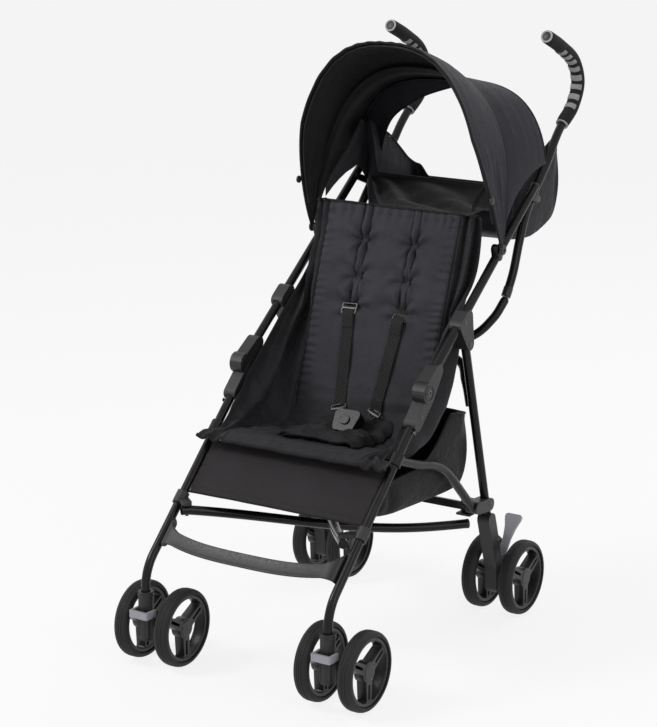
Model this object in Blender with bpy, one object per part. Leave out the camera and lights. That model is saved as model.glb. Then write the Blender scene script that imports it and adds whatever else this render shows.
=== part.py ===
"""A lightweight umbrella stroller: two tube side frames joined by scissor bars, twin-wheel casters,
a sling seat with a folding canopy, a rear pouch and a basket. Metres, +Z up, +X to the child's left
when seen from the front, the front at -Y. Lengths along Y are counted from the caster axes."""

import math

import bmesh
import bpy
from mathutils import Matrix, Vector

# Clearances between pieces that touch, that turn in each other, and that pass each other
SEAT_GAP = 0.0003
RUN_GAP = 0.0006
PASS_GAP = 0.0010
BORE_GAP = 0.0007
PIN_BORE_GAP = 0.0005
# How far a cutter runs past the face it opens, and how far a pin is sunk in what holds it
OVERRUN = 0.040
ROOT = 0.002

# Overall layout
HALF_TRACK = 0.1895
WHEELBASE = 0.6026
ORIGIN_BEHIND_CASTER = 0.4450

# Wheels
WHEEL_RADIUS = 0.070
TYRE_WIDTH = 0.028
TYRE_DEPTH = 0.0095
TREAD_HALF = 0.006
TREAD_SHOULDER = 0.0013
TREAD_BEVEL = 0.0045
SIDEWALL_DEPTH = 0.006
TYRE_SIDES = 28
RIM_WIDTH = 0.022
RIM_BAND = 0.0065
RIM_SIDES = 28
RIM_FLANGE = 0.001
HUB_RADIUS = 0.0155
HUB_CAP = 0.003
HUB_COLLAR = 0.002
SPOKES = 3
SPOKE_HALF_WIDTH = 0.0085
SLOT_HALF_WIDTH = 0.0022
SLOT_START = 0.022
SLOT_END = 0.049
AXLE_RADIUS = 0.004
FRONT_TWIN_HALF = 0.0432
REAR_TWIN_HALF = 0.0390

# Front casters
CASTER_TRAIL = 0.046
BARREL_RADIUS = 0.0135
BARREL_BOTTOM = 0.055
BARREL_TOP = 0.1434
AXLE_BOSS_RADIUS = 0.013
FORK_ARM_HALF = 0.0115
# The arm's two rounds on the barrel: distance from the barrel's end, and radius
FORK_ARM_LOW = (0.0125, 0.0120)
FORK_ARM_HIGH = (0.0400, 0.0100)
STEM_BOTTOM = 0.1125
LOCK_HEIGHT = 0.105
LOCK_LIFT = 0.0065
LOCK_REACH = 0.0185
LOCK_THICKNESS = 0.006
LOCK_HALF_WIDTH = 0.0195
LOCK_BACK = 0.003
LOCK_CHAMFER = 0.002
LOCK_PIN_RADIUS = 0.002
LOCK_PIN_DEPTH = 0.0035
LOCK_PIN_ROOT = 0.001

# Frame tubes, in the plane of each side: Y and Z
TUBE_RADIUS = 0.008
SLEEVE_RADIUS = 0.012
LEG_CORNER_Z = 0.1816
LEG_ANGLE = math.radians(43.97)
LEG_BEND_RADIUS = 0.080
LEG_TOP_Y = 0.303
UPPER_POINT = (0.431, 0.590)
UPPER_ANGLE = math.radians(37.09)
UPPER_START_Y = 0.319
UPPER_END_Y = 0.697
REAR_LEG_TOP = (0.4423, 0.5606)
REAR_LEG_BOTTOM = (0.5572, 0.1250)
KNUCKLE_DRUM_Y = 0.299
KNUCKLE_DRUM_RADIUS = 0.0190
KNUCKLE_DRUM_OUTER = 0.0150
KNUCKLE_DRUM_LIP = 0.003
KNUCKLE_STEP = 0.0005
KNUCKLE_LEG_COVER = 0.006
KNUCKLE_LOW_Y = 0.268
KNUCKLE_HIGH_Y = 0.339
HUB_TUBE_REACH = 0.012
CLIP_WALL = 0.0035
HUB_SOCKET_DEPTH = 0.014
CANOPY_PIVOT = (0.553, 0.698)
HANDLE_LUG_START = (0.6780, 0.0060)
HANDLE_LUG_END = (0.7160, 0.7636, 0.0070)
HANDLE_LUG_INSETS = (0.0081, 0.0015)

# Seat support bars
SEAT_BAR_FRONT_Y = 0.2145
SEAT_BAR_KNOTS = (
    (0.260, 0.372),
    (0.301, 0.358),
    (0.335, 0.349),
    (0.372, 0.333),
    (0.405, 0.307),
    (0.445, 0.268),
)
SEAT_BAR_END = (0.4830, 0.2300)
SADDLE_LENGTH = 0.024

# Scissor bars under the seat
BAR_RADIUS = 0.0085
BAR_FRONT = (HALF_TRACK - 0.0270, 0.0875, 0.2725)
BAR_REAR = (HALF_TRACK - 0.0295, SEAT_BAR_END[0] + 0.0170, 0.1900)
BAR_SAG = 0.0155
BAR_SAG_SKEW = 1.6
BAR_STEP_OVER = 0.0205
BAR_OVERSHOOT = 0.010
BAR_PIN_RADIUS = 0.003
BAR_STATIONS = 14

# Front brackets on the legs
FRONT_CLIP_LENGTH = 0.024
FRONT_LUG_THICKNESS = 0.006
FRONT_LUG_RADIUS = 0.009
FRONT_LUG_INSET = 0.004
FRONT_PIN_ROOT = 0.001

# Rear brackets and the brace between the rear legs
REAR_BRACKET_Z = 0.2265
REAR_BRACKET_SOCKET = (SEAT_BAR_END[0] + 0.0050, SEAT_BAR_END[1])
BRACKET_STEP = 0.0005
BRACE_Y = BAR_REAR[1]
BRACE_HALF_SPAN = HALF_TRACK - 0.0245
BRACE_LAP = 0.012
BRACE_HEIGHT = 0.015
BRACE_THICKNESS = 0.005
BRACE_PIN_RADIUS = 0.003
LUG_THICKNESS = 0.007
TAB_THICKNESS = 0.004
TAB_REACH = 0.0125
TAB_CLEARANCE = 0.0120
LUG_ROOT = 0.003

# Rear wheel housings and brake pedals
HOUSING_HALF = 0.0125
HOUSING_TOP_Z = 0.208
HOUSING_KNEE = (0.5650, 0.1010)
HOUSING_FOOT = (0.5660, 0.0560)
HOUSING_RADIUS = 0.0125
HOUSING_SMALL_RADIUS = 0.0110
HOUSING_STEP = 0.0005
PEDAL_EAR_WALL = 0.0015
PEDAL_SLOT_REACH = 0.030
PEDAL_PIVOT = (0.5930, 0.1030)
PEDAL_BOSS_RADIUS = 0.0070
PEDAL_BOSS_HALF = 0.0075
PEDAL_PIN_RADIUS = 0.0025
PEDAL_ANGLE = math.radians(54.0)
PEDAL_LENGTH = 0.0880
PEDAL_NECK_HALF = 0.0078
PEDAL_TOP_HALF = 0.0170
PEDAL_THICKNESS = 0.0050
PEDAL_CORNER = 0.004
# One side of the paddle: share of its length, and share of the way from the neck's width to the top's
PEDAL_EDGE = ((0.0, -0.055), (0.45, 0.0), (0.70, 0.38), (0.90, 1.0), (0.965, 1.0))

# Handle tubes, grips and the cross tubes below them
# Points on the axis of each: how far inside the leg's plane, Y and Z
SPLIT_POINT = (HALF_TRACK - 0.0085, 0.6035, 0.5920)
HANDLE_KNOTS = (
    (0.0085, 0.634, 0.637),
    (0.0115, 0.662, 0.692),
    (0.0155, 0.694, 0.741),
    (0.0170, 0.730, 0.778),
    (0.0190, 0.775, 0.818),
    (0.0205, 0.812, 0.8605),
)
GRIP_INSET = 0.0215
GRIP_KNOTS = (
    (0.842, 0.887),
    (0.880, 0.914),
    (0.901, 0.957),
    (0.879, 1.001),
    (0.826, 1.032),
    (0.774, 1.0545),
)
GRIP_RADIUS = 0.0128
GRIP_DOME = 0.35
HANDLE_SOCKET = 0.004
HANDLE_STEPS = 3
CROSS_NEAR = (HALF_TRACK - 0.0205, 0.5850, 0.5620)
CROSS_BEND = (HALF_TRACK - 0.0495, 0.5690, 0.5300)
CROSS_RUN = (HALF_TRACK - 0.1045, 0.0040, 0.5110)
CROSS_MIDDLE_Y = 0.5490
CROSS_MIDDLE_HEIGHT = 0.4985
CROSS_SPACING = 0.0098
CROSS_FAR = (0.0795 - HALF_TRACK, -0.0040, 0.4840)
CROSS_FAR_BEND = (0.0455 - HALF_TRACK, 0.5300, 0.4520)
CROSS_END = (0.0335 - HALF_TRACK, 0.5270, 0.4080)

# Footrest
FOOTREST_ALONG = 0.0570
FOOTREST_FOOT = -0.029
FOOTREST_HEIGHT = 0.027
FOOTREST_THICKNESS = 0.0038
FOOTREST_BOW = 0.0145
FOOTREST_BOW_WAY = (0.0, 0.9, 0.5)
# Stations across the band, as shares of its half length
FOOTREST_BAND = (0.0, 0.2244, 0.4487, 0.6410, 0.8013, 0.9103)
# Each end row: distance inside the leg's plane and ahead of its axis, height and start along the leg
FOOTREST_ENDS = (
    (0.0335, 0.0125, 0.030, -0.0290),
    (0.0225, 0.0120, 0.037, -0.0290),
    (0.0150, 0.0100, 0.046, -0.0290),
    (0.0110, 0.0060, 0.055, -0.0290),
    (0.0103, 0.0000, 0.057, -0.0285),
    (0.0103, -0.0060, 0.052, -0.0260),
    (0.0103, -0.0095, 0.044, -0.0220),
)

# Sling seat, as Y and Z down the middle and along its side edges, front to top
SEAT_THICKNESS = 0.006
SEAT_FLAP_HALF = HALF_TRACK + 0.0065
SEAT_PANEL_HALF = HALF_TRACK - 0.0495
SEAT_BELLY = 0.008
SEAT_MIDDLE = (
    (0.168, 0.386),
    (0.190, 0.392),
    (0.215, 0.391),
    (0.260, 0.384),
    (0.310, 0.374),
    (0.352, 0.370),
    (0.380, 0.379),
    (0.394, 0.405),
)
SEAT_BACK_TOP = (0.515, 0.760)
SEAT_EDGE = (
    (0.168, 0.386),
    (0.190, 0.392),
    (0.206, 0.394),
    (0.228, 0.409),
    (0.252, 0.433),
    (0.284, 0.463),
    (0.312, 0.489),
    (0.345, 0.517),
)
SEAT_EDGE_TOP = (
    (0.381, 0.548),
    (0.431, 0.588),
    (0.480, 0.626),
    (0.512, 0.660),
    (0.527, 0.715),
    (0.527, 0.757),
)
SEAT_BACK_ROWS = 14
SEAT_COLUMNS = 10
SEAT_GUSSET_COLUMNS = 2
TUFT_X = 0.052
TUFT_HEIGHTS = (0.585, 0.637, 0.700)
TUFT_DEPTH = 0.004
TUFT_SIZE = 0.014

# Calf panel between the front legs
CALF_TOP_Z = 0.3720
CALF_BOTTOM_Z = 0.2960
CALF_THICKNESS = 0.003
CALF_BILLOW = 0.004
CALF_ROWS = 4
CALF_COLUMNS = 6
# The billow is a part of a half wave from the hem to the top
CALF_BILLOW_START = 0.15
CALF_BILLOW_RUN = 0.70

# Canopy: a fan of cloth about its pivots
CANOPY_HALF_WIDTH = HALF_TRACK + 0.0150
CANOPY_REACH = 0.3730
CANOPY_SQUARENESS = 2.5
CANOPY_THICKNESS = 0.0025
CANOPY_FOOT = 0.008
CANOPY_FRONT_AHEAD = 0.0730
CANOPY_FRONT_BEND = 0.220
CANOPY_FRONT_POWER = 0.8
CANOPY_FRONT_LIMIT = 0.9
CANOPY_SEAM_ANGLE = math.radians(13.0)
CANOPY_SEAM_REACH = 0.3110
CANOPY_LAP_ANGLE = math.radians(3.0)
CANOPY_LAP_GAP = 0.0015
CANOPY_LAP_DROP = 0.0025
CANOPY_REAR_HEIGHT = 0.2740
CANOPY_REAR_BACK = 0.1670
CANOPY_REAR_BEND = 0.130
CANOPY_REAR_SQUARENESS = 3.4
CANOPY_VALANCE_DROP = 0.055
CANOPY_VALANCE_CORNER = 0.11
CANOPY_VALANCE_LEVEL = 0.6
CANOPY_VALANCE_IN = 0.20
CANOPY_COLUMNS = 26
CANOPY_ROWS = 6
CANOPY_LUG_RADIUS = 0.009
CANOPY_LUG_LEAN = 0.004

# Pouch behind the seat back
POUCH_HALF_WIDTH = HALF_TRACK - 0.0287
POUCH_OUTLINE = (
    (0.6600, 0.7000),
    (0.7450, 0.6700),
    (0.8550, 0.7060),
    (0.8430, 0.7960),
    (0.8520, 0.8500),
    (0.8050, 0.8700),
    (0.7600, 0.8300),
    (0.7100, 0.8000),
    (0.6650, 0.7930),
    (0.5340, 0.7700),
    (0.5345, 0.7670),
    (0.6630, 0.7870),
)
POUCH_HOLLOW = (
    (0.6690, 0.7010),
    (0.7450, 0.6738),
    (0.8505, 0.7085),
    (0.8390, 0.7960),
    (0.8390, 0.9000),
    (0.6690, 0.9000),
)
# The rim dips between its corners, and lower still towards the child's right
POUCH_NOTCH = ((0.6655, 0.7870), (0.8700, 0.7490), (0.8700, 0.9000), (0.6655, 0.9000))
POUCH_SLUMP = (
    (0.7600, 0.8310),
    (0.8050, 0.8010),
    (0.8900, 0.7660),
    (0.8900, 0.9000),
    (0.7600, 0.9000),
)
POUCH_WALL = 0.003
POUCH_NOTCH_HALF = POUCH_HALF_WIDTH - 0.0128

# Basket under the seat
BASKET_FRONT = (0.178, 0.283)
BASKET_FLOOR = ((0.300, 0.276), (0.420, 0.269))
BASKET_HEEL = (0.512, 0.268)
BASKET_BACK = ((0.506, 0.335), (0.488, 0.402))
BASKET_RIM = ((0.418, 0.424), (0.360, 0.344), (0.300, 0.345), (0.200, 0.345))
BASKET_WALL = 0.003

# Harness, buckle and its button
STRAP_WIDTH = 0.025
STRAP_THICKNESS = 0.0018
STRAP_TOP = (0.055, 0.575)
STRAP_LOW = (0.0375, 0.418)
STRAP_STEPS = 6
STRAP_TAIL = ((0.028, 0.3850, 0.4085), (0.012, 0.3770, 0.3985))
CROTCH_KNOTS = ((0.0, 0.3785, 0.4003), (0.0, 0.3650, 0.3845), (0.0, 0.3520, 0.3700))
CROTCH_EXTRA = (0.0010, 0.0006)
BUCKLE_CENTRE = (0.0, 0.3560, 0.3930)
BUCKLE_SIZE = (0.052, 0.020, 0.044)
BUCKLE_TILT = math.radians(-42.0)
BUCKLE_CORNER = 0.010
BUCKLE_TAPER = 0.004
BUTTON_RADIUS = 0.0090
BUTTON_PROUD = 0.003
BUTTON_DEPTH = 0.006

# Colours as base colour, roughness and metallic value
TUBE_BLACK = ("tube_black", (0.020, 0.020, 0.022), 0.35, 0.6)
PLASTIC_BLACK = ("plastic_black", (0.026, 0.026, 0.028), 0.50, 0.0)
TYRE_BLACK = ("tyre_black", (0.030, 0.029, 0.031), 0.75, 0.0)
LEVER_GREY = ("lever_grey", (0.360, 0.360, 0.400), 0.45, 0.0)
PEDAL_GREY = ("pedal_grey", (0.260, 0.260, 0.300), 0.45, 0.0)
GRIP_BLACK = ("grip_black", (0.035, 0.035, 0.036), 0.90, 0.0)
CLOTH_CHARCOAL = ("cloth_charcoal", (0.028, 0.027, 0.032), 0.85, 0.0)
CLOTH_BLACK = ("cloth_black", (0.012, 0.012, 0.013), 0.90, 0.0)
WEBBING_BLACK = ("webbing_black", (0.014, 0.014, 0.015), 0.80, 0.0)


def clear_scene():
    for item in list(bpy.data.objects):
        bpy.data.objects.remove(item, do_unlink=True)


def material(look):
    """The material of this name, made once."""
    name, colour, roughness, metallic = look
    found = bpy.data.materials.get(name)
    if found:
        return found
    made = bpy.data.materials.new(name)
    made.use_nodes = True
    shader = made.node_tree.nodes["Principled BSDF"]
    shader.inputs["Base Color"].default_value = (*colour, 1.0)
    shader.inputs["Roughness"].default_value = roughness
    shader.inputs["Metallic"].default_value = metallic
    return made


def mesh_of(bm):
    """A mesh from a bmesh, welded and with its faces pointing out."""
    bmesh.ops.remove_doubles(bm, verts=bm.verts, dist=1e-6)
    bmesh.ops.recalc_face_normals(bm, faces=bm.faces)
    mesh = bpy.data.meshes.new("shape")
    bm.to_mesh(mesh)
    bm.free()
    return mesh


def evaluated(item):
    """The object's mesh with its modifiers carried out, and the object removed."""
    graph = bpy.context.evaluated_depsgraph_get()
    mesh = bpy.data.meshes.new_from_object(item.evaluated_get(graph))
    bpy.data.objects.remove(item, do_unlink=True)
    bm = bmesh.new()
    bm.from_mesh(mesh)
    return mesh_of(bm)


def scratch_object(data):
    item = bpy.data.objects.new("scratch", data)
    bpy.context.scene.collection.objects.link(item)
    return item


def combined(mesh, other, operation):
    """The Boolean of two meshes."""
    item = scratch_object(mesh)
    cutter = scratch_object(other)
    cutter.display_type = "WIRE"
    cutter.hide_render = True
    boolean = item.modifiers.new("boolean", "BOOLEAN")
    boolean.operation = operation
    boolean.solver = "EXACT"
    boolean.object = cutter
    made = evaluated(item)
    bpy.data.objects.remove(cutter, do_unlink=True)
    return made


def joined(mesh, *others):
    for other in others:
        mesh = combined(mesh, other, "UNION")
    return mesh


def cut(mesh, *others):
    for other in others:
        mesh = combined(mesh, other, "DIFFERENCE")
    return mesh


def thickened(mesh, thickness, offset):
    """An open sheet made solid; offset -1 puts the thickness behind its faces, 1 in front, 0 both ways."""
    item = scratch_object(mesh)
    solidify = item.modifiers.new("solidify", "SOLIDIFY")
    solidify.thickness = thickness
    solidify.offset = offset
    solidify.use_even_offset = False
    return evaluated(item)


def mirrored(mesh):
    """The same shape on the other side of the middle plane."""
    bm = bmesh.new()
    bm.from_mesh(mesh)
    bmesh.ops.scale(bm, vec=(-1.0, 1.0, 1.0), verts=bm.verts)
    return mesh_of(bm)


def add(name, mesh, look, parent, origin=(0.0, 0.0, 0.0)):
    """A named piece whose mesh is in the stroller's coordinates and whose origin is at the given point."""
    mesh.transform(Matrix.Translation(-Vector(origin)))
    mesh.name = name
    mesh.materials.clear()
    mesh.materials.append(material(look))
    mesh.shade_smooth()
    mesh.set_sharp_from_angle(angle=math.radians(40))
    item = bpy.data.objects.new(name, mesh)
    bpy.context.scene.collection.objects.link(item)
    item.parent = parent
    item.location = Vector(origin) - parent_origin(parent)
    return item


def add_pivot(name, parent, origin):
    """An empty on a joint's axis."""
    empty = bpy.data.objects.new(name, None)
    empty.empty_display_size = 0.03
    bpy.context.scene.collection.objects.link(empty)
    empty.parent = parent
    empty.location = Vector(origin) - parent_origin(parent)
    return empty


def parent_origin(parent):
    """The parent's place in the stroller's coordinates."""
    place = Vector((0.0, 0.0, 0.0))
    while parent is not None and parent.parent is not None:
        place += parent.location
        parent = parent.parent
    return place


def sided(name, side):
    return f"{name}_{'left' if side > 0 else 'right'}"


def smooth_path(knots, per_span=6):
    """Points along a Catmull-Rom curve through the knots."""
    knots = [Vector(knot) for knot in knots]
    ends = [2 * knots[0] - knots[1], *knots, 2 * knots[-1] - knots[-2]]
    points = []
    for index in range(len(knots) - 1):
        before, start, stop, after = ends[index : index + 4]
        for step in range(per_span):
            t = step / per_span
            points.append(
                0.5
                * (
                    2 * start
                    + (stop - before) * t
                    + (2 * before - 5 * start + 4 * stop - after) * t**2
                    + (3 * start - before - 3 * stop + after) * t**3
                )
            )
    return [*points, knots[-1]]


def tube(points, radius, resolution=2, scales=None):
    """A round bar along the points, with filled ends."""
    curve = bpy.data.curves.new("tube", "CURVE")
    curve.dimensions = "3D"
    curve.bevel_depth = radius
    curve.bevel_resolution = resolution
    curve.use_fill_caps = True
    spline = curve.splines.new("POLY")
    spline.points.add(len(points) - 1)
    for index, point in enumerate(points):
        spline.points[index].co = (*point, 1.0)
        if scales:
            spline.points[index].radius = scales[index]
    return evaluated(scratch_object(curve))


def round_ended(points, radius, first=True, last=True, steps=3):
    """The points and radius scales of a bar whose ends are domed about its end points."""
    points = [Vector(point) for point in points]
    scales = [1.0] * len(points)

    def dome(end, inward):
        out = (end - inward).normalized()
        turns = [math.radians(90 * step / steps) for step in range(1, steps)] + [math.radians(84)]
        return [end + out * radius * math.sin(turn) for turn in turns], [math.cos(turn) for turn in turns]

    if first:
        extra, sizes = dome(points[0], points[1])
        points = extra[::-1] + points
        scales = sizes[::-1] + scales
    if last:
        extra, sizes = dome(points[-1], points[-2])
        points = points + extra
        scales = scales + sizes
    return points, scales


def cylinder(start, end, radius, sides=16):
    """A cylinder between two points."""
    start = Vector(start)
    end = Vector(end)
    turn = (end - start).to_track_quat("Z", "Y").to_matrix().to_4x4()
    bm = bmesh.new()
    bmesh.ops.create_cone(
        bm,
        cap_ends=True,
        segments=sides,
        radius1=radius,
        radius2=radius,
        depth=(end - start).length,
        matrix=Matrix.Translation((start + end) / 2) @ turn,
    )
    return mesh_of(bm)


def ball(centre, radius, sides=16):
    bm = bmesh.new()
    bmesh.ops.create_uvsphere(
        bm, u_segments=sides, v_segments=sides // 2, radius=radius, matrix=Matrix.Translation(centre)
    )
    return mesh_of(bm)


def box(low, high):
    bm = bmesh.new()
    size = Vector(high) - Vector(low)
    middle = (Vector(high) + Vector(low)) / 2
    bmesh.ops.create_cube(bm, size=1.0, matrix=Matrix.Translation(middle) @ Matrix.Diagonal((*size, 1.0)))
    return mesh_of(bm)


def plate(outline, low, high, axis="X"):
    """An outline extruded from low to high along an axis; its two numbers are the other two coordinates."""
    order = {"X": (2, 0, 1), "Y": (0, 2, 1), "Z": (0, 1, 2)}[axis]
    bm = bmesh.new()
    corners = []
    for first, second in outline:
        values = (first, second, low)
        corners.append(bm.verts.new([values[place] for place in order]))
    face = bm.faces.new(corners)
    made = bmesh.ops.extrude_face_region(bm, geom=[face])
    moved = [part for part in made["geom"] if isinstance(part, bmesh.types.BMVert)]
    shift = [(0.0, 0.0, high - low)[place] for place in order]
    bmesh.ops.translate(bm, vec=shift, verts=moved)
    return mesh_of(bm)


def hull(circles, sides=16):
    """The outline of a band stretched round circles, each given as two coordinates and a radius."""
    points = sorted(
        (
            u + radius * math.cos(2 * math.pi * (step + 0.5) / sides),
            v + radius * math.sin(2 * math.pi * (step + 0.5) / sides),
        )
        for u, v, radius in circles
        for step in range(sides)
    )

    def chain(run):
        kept = []
        for point in run:
            while len(kept) > 1 and turn(kept[-2], kept[-1], point) <= 1e-9:
                kept.pop()
            kept.append(point)
        return kept[:-1]

    def turn(a, b, c):
        return (b[0] - a[0]) * (c[1] - a[1]) - (b[1] - a[1]) * (c[0] - a[0])

    return chain(points) + chain(points[::-1])


def circle_points(radius, sides, centre=(0.0, 0.0)):
    return [
        (
            centre[0] + radius * math.cos(2 * math.pi * (step + 0.5) / sides),
            centre[1] + radius * math.sin(2 * math.pi * (step + 0.5) / sides),
        )
        for step in range(sides)
    ]


def pierced_plate(outlines, half_thickness):
    """Closed outlines, the first outer and the rest holes, extruded both ways from the plane X = 0."""
    curve = bpy.data.curves.new("pierced", "CURVE")
    curve.dimensions = "2D"
    curve.fill_mode = "BOTH"
    curve.extrude = half_thickness
    for outline in outlines:
        spline = curve.splines.new("POLY")
        spline.use_cyclic_u = True
        spline.points.add(len(outline) - 1)
        for index, point in enumerate(outline):
            spline.points[index].co = (*point, 0.0, 1.0)
    mesh = evaluated(scratch_object(curve))
    mesh.transform(Matrix.Rotation(math.radians(90), 4, "Y") @ Matrix.Rotation(math.radians(90), 4, "Z"))
    return mesh


def ribbon(points, width, thickness, across=(1.0, 0.0, 0.0)):
    """A flat band along the points, as wide as given along across."""
    points = [Vector(point) for point in points]
    side = Vector(across).normalized() * width / 2
    bm = bmesh.new()
    rings = []
    for index, point in enumerate(points):
        along = points[min(index + 1, len(points) - 1)] - points[max(index - 1, 0)]
        up = side.cross(along).normalized() * thickness / 2
        corners = (-side - up, side - up, side + up, up - side)
        rings.append([bm.verts.new(point + corner) for corner in corners])
    for here, there in zip(rings, rings[1:]):
        for corner in range(4):
            after = (corner + 1) % 4
            bm.faces.new((here[corner], here[after], there[after], there[corner]))
    bm.faces.new(rings[0])
    bm.faces.new(rings[-1])
    return mesh_of(bm)


def sheet(rows):
    """An open sheet through rows of points."""
    bm = bmesh.new()
    grid = [[bm.verts.new(point) for point in row] for row in rows]
    for here, there in zip(grid, grid[1:]):
        for column in range(len(here) - 1):
            bm.faces.new((here[column], here[column + 1], there[column + 1], there[column]))
    return mesh_of(bm)


def leg_point(y):
    """A point on the front leg's straight part."""
    return Vector((HALF_TRACK, y, LEG_CORNER_Z + y * math.tan(LEG_ANGLE)))


def upper_point(y):
    """A point on the upper tube's axis."""
    return Vector((HALF_TRACK, y, UPPER_POINT[1] + (y - UPPER_POINT[0]) * math.tan(UPPER_ANGLE)))


def rear_leg_point(z):
    """A point on the rear leg's axis."""
    share = (z - REAR_LEG_TOP[1]) / (REAR_LEG_BOTTOM[1] - REAR_LEG_TOP[1])
    return Vector((HALF_TRACK, REAR_LEG_TOP[0] + share * (REAR_LEG_BOTTOM[0] - REAR_LEG_TOP[0]), z))


LEG_DIRECTION = Vector((0.0, math.cos(LEG_ANGLE), math.sin(LEG_ANGLE)))
LEG_FRONT = Vector((0.0, -math.sin(LEG_ANGLE), math.cos(LEG_ANGLE)))
UPPER_DIRECTION = Vector((0.0, math.cos(UPPER_ANGLE), math.sin(UPPER_ANGLE)))
INNER_FACE = HALF_TRACK - SLEEVE_RADIUS
TUBE_INNER_FACE = HALF_TRACK - TUBE_RADIUS
BORE_RADIUS = TUBE_RADIUS + BORE_GAP
CLIP_RADIUS = TUBE_RADIUS + CLIP_WALL


def tyre_mesh():
    """A foam ring with a flat tread, its lowest facet level."""
    half = TYRE_WIDTH / 2
    inner = WHEEL_RADIUS - TYRE_DEPTH
    profile = [
        (-half, inner),
        (-half, WHEEL_RADIUS - SIDEWALL_DEPTH),
        (-TREAD_HALF - TREAD_BEVEL, WHEEL_RADIUS - TREAD_SHOULDER),
        (-TREAD_HALF, WHEEL_RADIUS),
        (TREAD_HALF, WHEEL_RADIUS),
        (TREAD_HALF + TREAD_BEVEL, WHEEL_RADIUS - TREAD_SHOULDER),
        (half, WHEEL_RADIUS - SIDEWALL_DEPTH),
        (half, inner),
    ]
    facet = math.pi / TYRE_SIDES
    reach = 1 / math.cos(facet)
    bm = bmesh.new()
    ring = [bm.verts.new((x, r * reach * math.sin(facet), -r * reach * math.cos(facet))) for x, r in profile]
    edges = [bm.edges.new((ring[index], ring[(index + 1) % len(ring)])) for index in range(len(ring))]
    bmesh.ops.spin(
        bm, geom=edges, cent=(0, 0, 0), axis=(1, 0, 0), angle=2 * math.pi, steps=TYRE_SIDES, use_merge=True
    )
    return mesh_of(bm)


def rim_mesh():
    """A plastic wheel centre: a band, a hub disc with a blind bore, and three slotted double spokes."""
    inner = WHEEL_RADIUS - TYRE_DEPTH - RIM_BAND
    opening_reach = inner - RIM_FLANGE
    hub_reach = HUB_RADIUS + HUB_COLLAR
    steps = 6
    rim_radius = (WHEEL_RADIUS - TYRE_DEPTH - SEAT_GAP) / math.cos(math.pi / RIM_SIDES)
    outlines = [circle_points(rim_radius, RIM_SIDES)]
    for spoke in range(SPOKES):
        along = -math.pi / 2 + 2 * math.pi * spoke / SPOKES
        clear = math.pi / SPOKES
        near = clear - math.asin(SPOKE_HALF_WIDTH / HUB_RADIUS)
        far = clear - math.asin(SPOKE_HALF_WIDTH / opening_reach)
        middle = along + clear
        outer = [
            (
                opening_reach * math.cos(middle - far + 2 * far * step / steps),
                opening_reach * math.sin(middle - far + 2 * far * step / steps),
            )
            for step in range(steps + 1)
        ]
        inside = [
            (hub_reach * math.cos(middle + turn), hub_reach * math.sin(middle + turn))
            for turn in (near, 0.0, -near)
        ]
        outlines.append(outer + inside)
        ahead = Vector((math.cos(along), math.sin(along)))
        aside = Vector((-ahead.y, ahead.x)) * SLOT_HALF_WIDTH
        near_edge = ahead * SLOT_START
        far_edge = ahead * SLOT_END
        slot = (near_edge - aside, far_edge - aside, far_edge + aside, near_edge + aside)
        outlines.append([tuple(point) for point in slot])
    mesh = pierced_plate(outlines, RIM_WIDTH / 2)
    bore = AXLE_RADIUS + RUN_GAP
    return cut(mesh, cylinder((-RIM_WIDTH, 0, 0), (RIM_WIDTH / 2 - HUB_CAP, 0, 0), bore, 12))


def add_wheel(name, parent, centre, outward):
    """A tyre and a rim, with the rim's open bore facing the axle's middle."""
    add(f"{name}_tyre", tyre_mesh(), TYRE_BLACK, parent, (0, 0, 0))
    rim = rim_mesh()
    if outward < 0:
        rim = mirrored(rim)
    add(f"{name}_rim", rim, PLASTIC_BLACK, parent, (0, 0, 0))
    for part in (f"{name}_tyre", f"{name}_rim"):
        bpy.data.objects[part].location = Vector(centre) - parent_origin(parent)


def axle_mesh(centre, twin_half):
    """An axle that ends inside both wheels' hub caps."""
    reach = twin_half + RIM_WIDTH / 2 - HUB_CAP - RUN_GAP
    x, y, z = centre
    return cylinder((x - reach, y, z), (x + reach, y, z), AXLE_RADIUS, 12)


def fork_mesh():
    """A caster housing: a barrel round the leg's stem, a trailing arm and the axle."""
    barrel = cylinder((HALF_TRACK, 0, BARREL_BOTTOM), (HALF_TRACK, 0, BARREL_TOP), BARREL_RADIUS, 16)
    arm = plate(
        hull(
            (
                (0.0, BARREL_BOTTOM + FORK_ARM_LOW[0], FORK_ARM_LOW[1]),
                (0.0, BARREL_TOP - FORK_ARM_HIGH[0], FORK_ARM_HIGH[1]),
                (CASTER_TRAIL, WHEEL_RADIUS, AXLE_BOSS_RADIUS),
            ),
            12,
        ),
        HALF_TRACK - FORK_ARM_HALF,
        HALF_TRACK + FORK_ARM_HALF,
    )
    axle = axle_mesh((HALF_TRACK, CASTER_TRAIL, WHEEL_RADIUS), FRONT_TWIN_HALF)
    stem_end = (HALF_TRACK, 0, STEM_BOTTOM - RUN_GAP)
    stem_bore = cylinder(stem_end, (HALF_TRACK, 0, BARREL_TOP + OVERRUN), TUBE_RADIUS + RUN_GAP + SEAT_GAP)
    reach = BARREL_RADIUS + ROOT
    pin_bore = cylinder(
        (HALF_TRACK - reach, 0, LOCK_HEIGHT),
        (HALF_TRACK + reach, 0, LOCK_HEIGHT),
        LOCK_PIN_RADIUS + PIN_BORE_GAP,
        10,
    )
    return cut(joined(barrel, arm, axle), stem_bore, pin_bore)


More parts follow.
